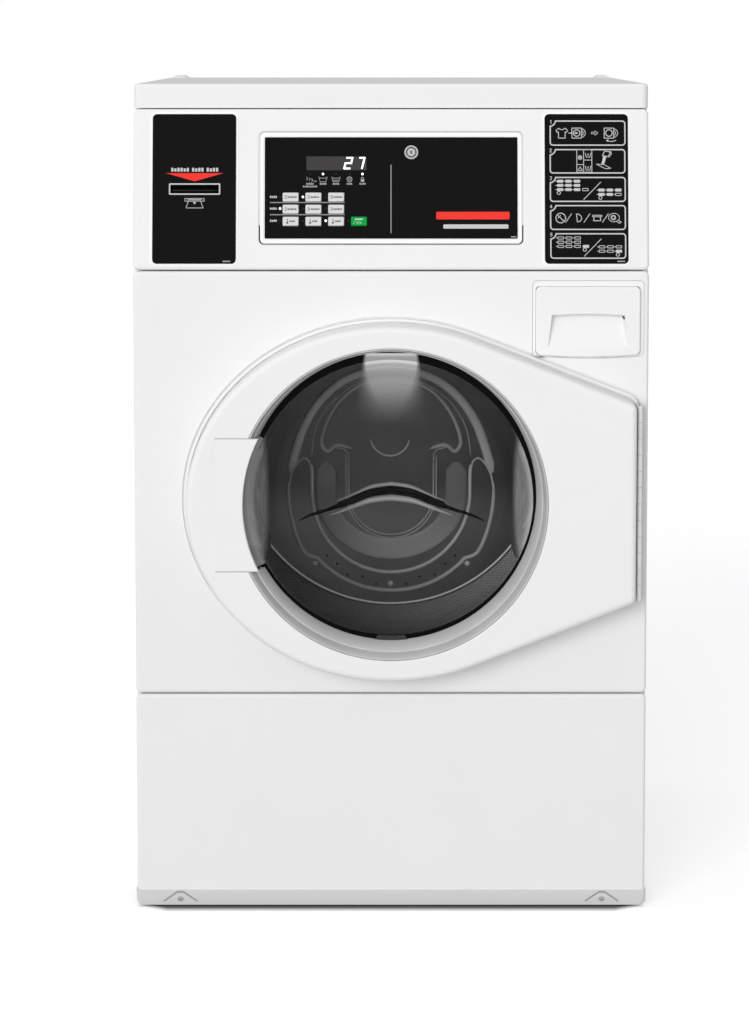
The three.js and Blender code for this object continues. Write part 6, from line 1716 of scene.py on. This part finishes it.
def room():
    """Even light from all sides, with a white backdrop and a white floor that keeps the shadow, deepened by a painted
    shadow under the machine.
    """
    world = bpy.data.worlds.new("studio_air")
    bpy.context.scene.world = world
    world.use_nodes = True
    tree = world.node_tree
    path = tree.nodes.new("ShaderNodeLightPath")
    seen = path.outputs[SEEN_RAYS[0]]
    for ray in SEEN_RAYS[1:]:
        either = tree.nodes.new("ShaderNodeMath")
        either.operation = "MAXIMUM"
        tree.links.new(seen, either.inputs[0])
        tree.links.new(path.outputs[ray], either.inputs[1])
        seen = either.outputs[0]
    level = tree.nodes.new("ShaderNodeMapRange")
    level.inputs["To Min"].default_value = AIR_LEVEL
    level.inputs["To Max"].default_value = 1.0
    tree.links.new(seen, level.inputs["Value"])
    ground = tree.nodes["Background"]
    ground.inputs["Color"].default_value = (1, 1, 1, 1)
    tree.links.new(level.outputs[0], ground.inputs["Strength"])
    studio_floor()


def studio_floor():
    """White floor with a soft painted shadow under the machine, which lights it less than it shows."""
    finish = Finish("pale_floor")
    x, y, _ = finish.axes()
    # painted shadow: the floor's colour darkens and its glow fades under the machine and just round its foot
    ends = ((x.absolute() - 302) / 31).clamped()
    outside = (x.absolute() - HALF + 16).largest(FACE_Y - y + 20 * ends).largest(y - FACE_Y - 698)
    under = (1 - (outside + 2) / 20).clamped()
    finish.paint(base_color=finish.mix(under, shade(248), shade(120)), roughness=1.0, specular_ior_level=0.0)
    rays = [finish.node("ShaderNodeLightPath", output=ray) for ray in SEEN_RAYS]
    seen = rays[0].largest(rays[1]).largest(rays[2])
    glow = finish.node("ShaderNodeEmission", None, {"Color": shade(255), "Strength": FLOOR_LIFT * (1 - under)})
    lit = finish.node("ShaderNodeAddShader", None, {0: Value(finish, finish.shader.outputs[0]), 1: glow})
    plain = finish.node("ShaderNodeEmission", None, {"Color": shade(255), "Strength": FLOOR_LEVEL})
    both = finish.node("ShaderNodeMixShader", None, {0: seen, 1: plain, 2: lit})
    finish.feed(finish.output.inputs["Surface"], both)
    mesh = bpy.data.meshes.new("studio_floor")
    far = 9000
    mesh.from_pydata([spot(x, y, 0) for x, y in ((-far, -far), (far, -far), (far, far), (-far, far))], [],
                     [(0, 1, 2, 3)])
    mesh.materials.append(finish.material)
    in_scene("studio_floor", mesh)


def front_light():
    """A broad low light from the front, a little from the left."""
    data = bpy.data.lights.new("front_light", "SUN")
    data.energy = SUN_SHARE * math.pi
    data.angle = math.radians(36)
    made = in_scene("front_light", data)
    made.rotation_euler = Vector((0.335, 0.92, -0.19)).to_track_quat("-Z", "Y").to_euler()
    made.visible_glossy = False


bpy.context.scene.view_settings.view_transform = "Standard"
camera()
room()
front_light()

# Plain finish of each CAD node, by its material slot
PLAIN = {
    "white_enamel": ENAMEL, "white_plastic": MOULDED_WHITE, "silver_trim": SILVER, "dark_glass": BLACK_FILM,
    "black_film": BLACK_FILM, "key_grey": KEY_GREY, "start_green": KEY_GREEN, "zinc_steel": ZINC,
    "stainless": STAINLESS, "cast_aluminium": ALUMINIUM, "grey_rubber": GREY_RUBBER, "tub_grey": TUB_PAINT,
    "concrete": CONCRETE, "cast_black": BLACK_MOULDING, "motor_steel": MOTOR_PAINT, "board": BOARD,
    "hinge_grey": HINGE_GREY,
}
for part in frame["record"]["subparts"]:
    node = frame["nodes"][part["node"]]
    node.data.materials.clear()
    node.data.materials.append(PLAIN[part["material_slot"]].material)

for build in (dress_inner_pieces, front_panel, lower_panel, toe_strip, control_panel, top_cover, flap, keys,
              lock_barrel, overlay_marks, key_labels, card_side, instruction_side, door_frame, door_liner, grip,
              window_trim, glass_bowl, hinge, drum_shell, gasket, drive_belt, springs, hose, drawer, housing, feet):
    build()
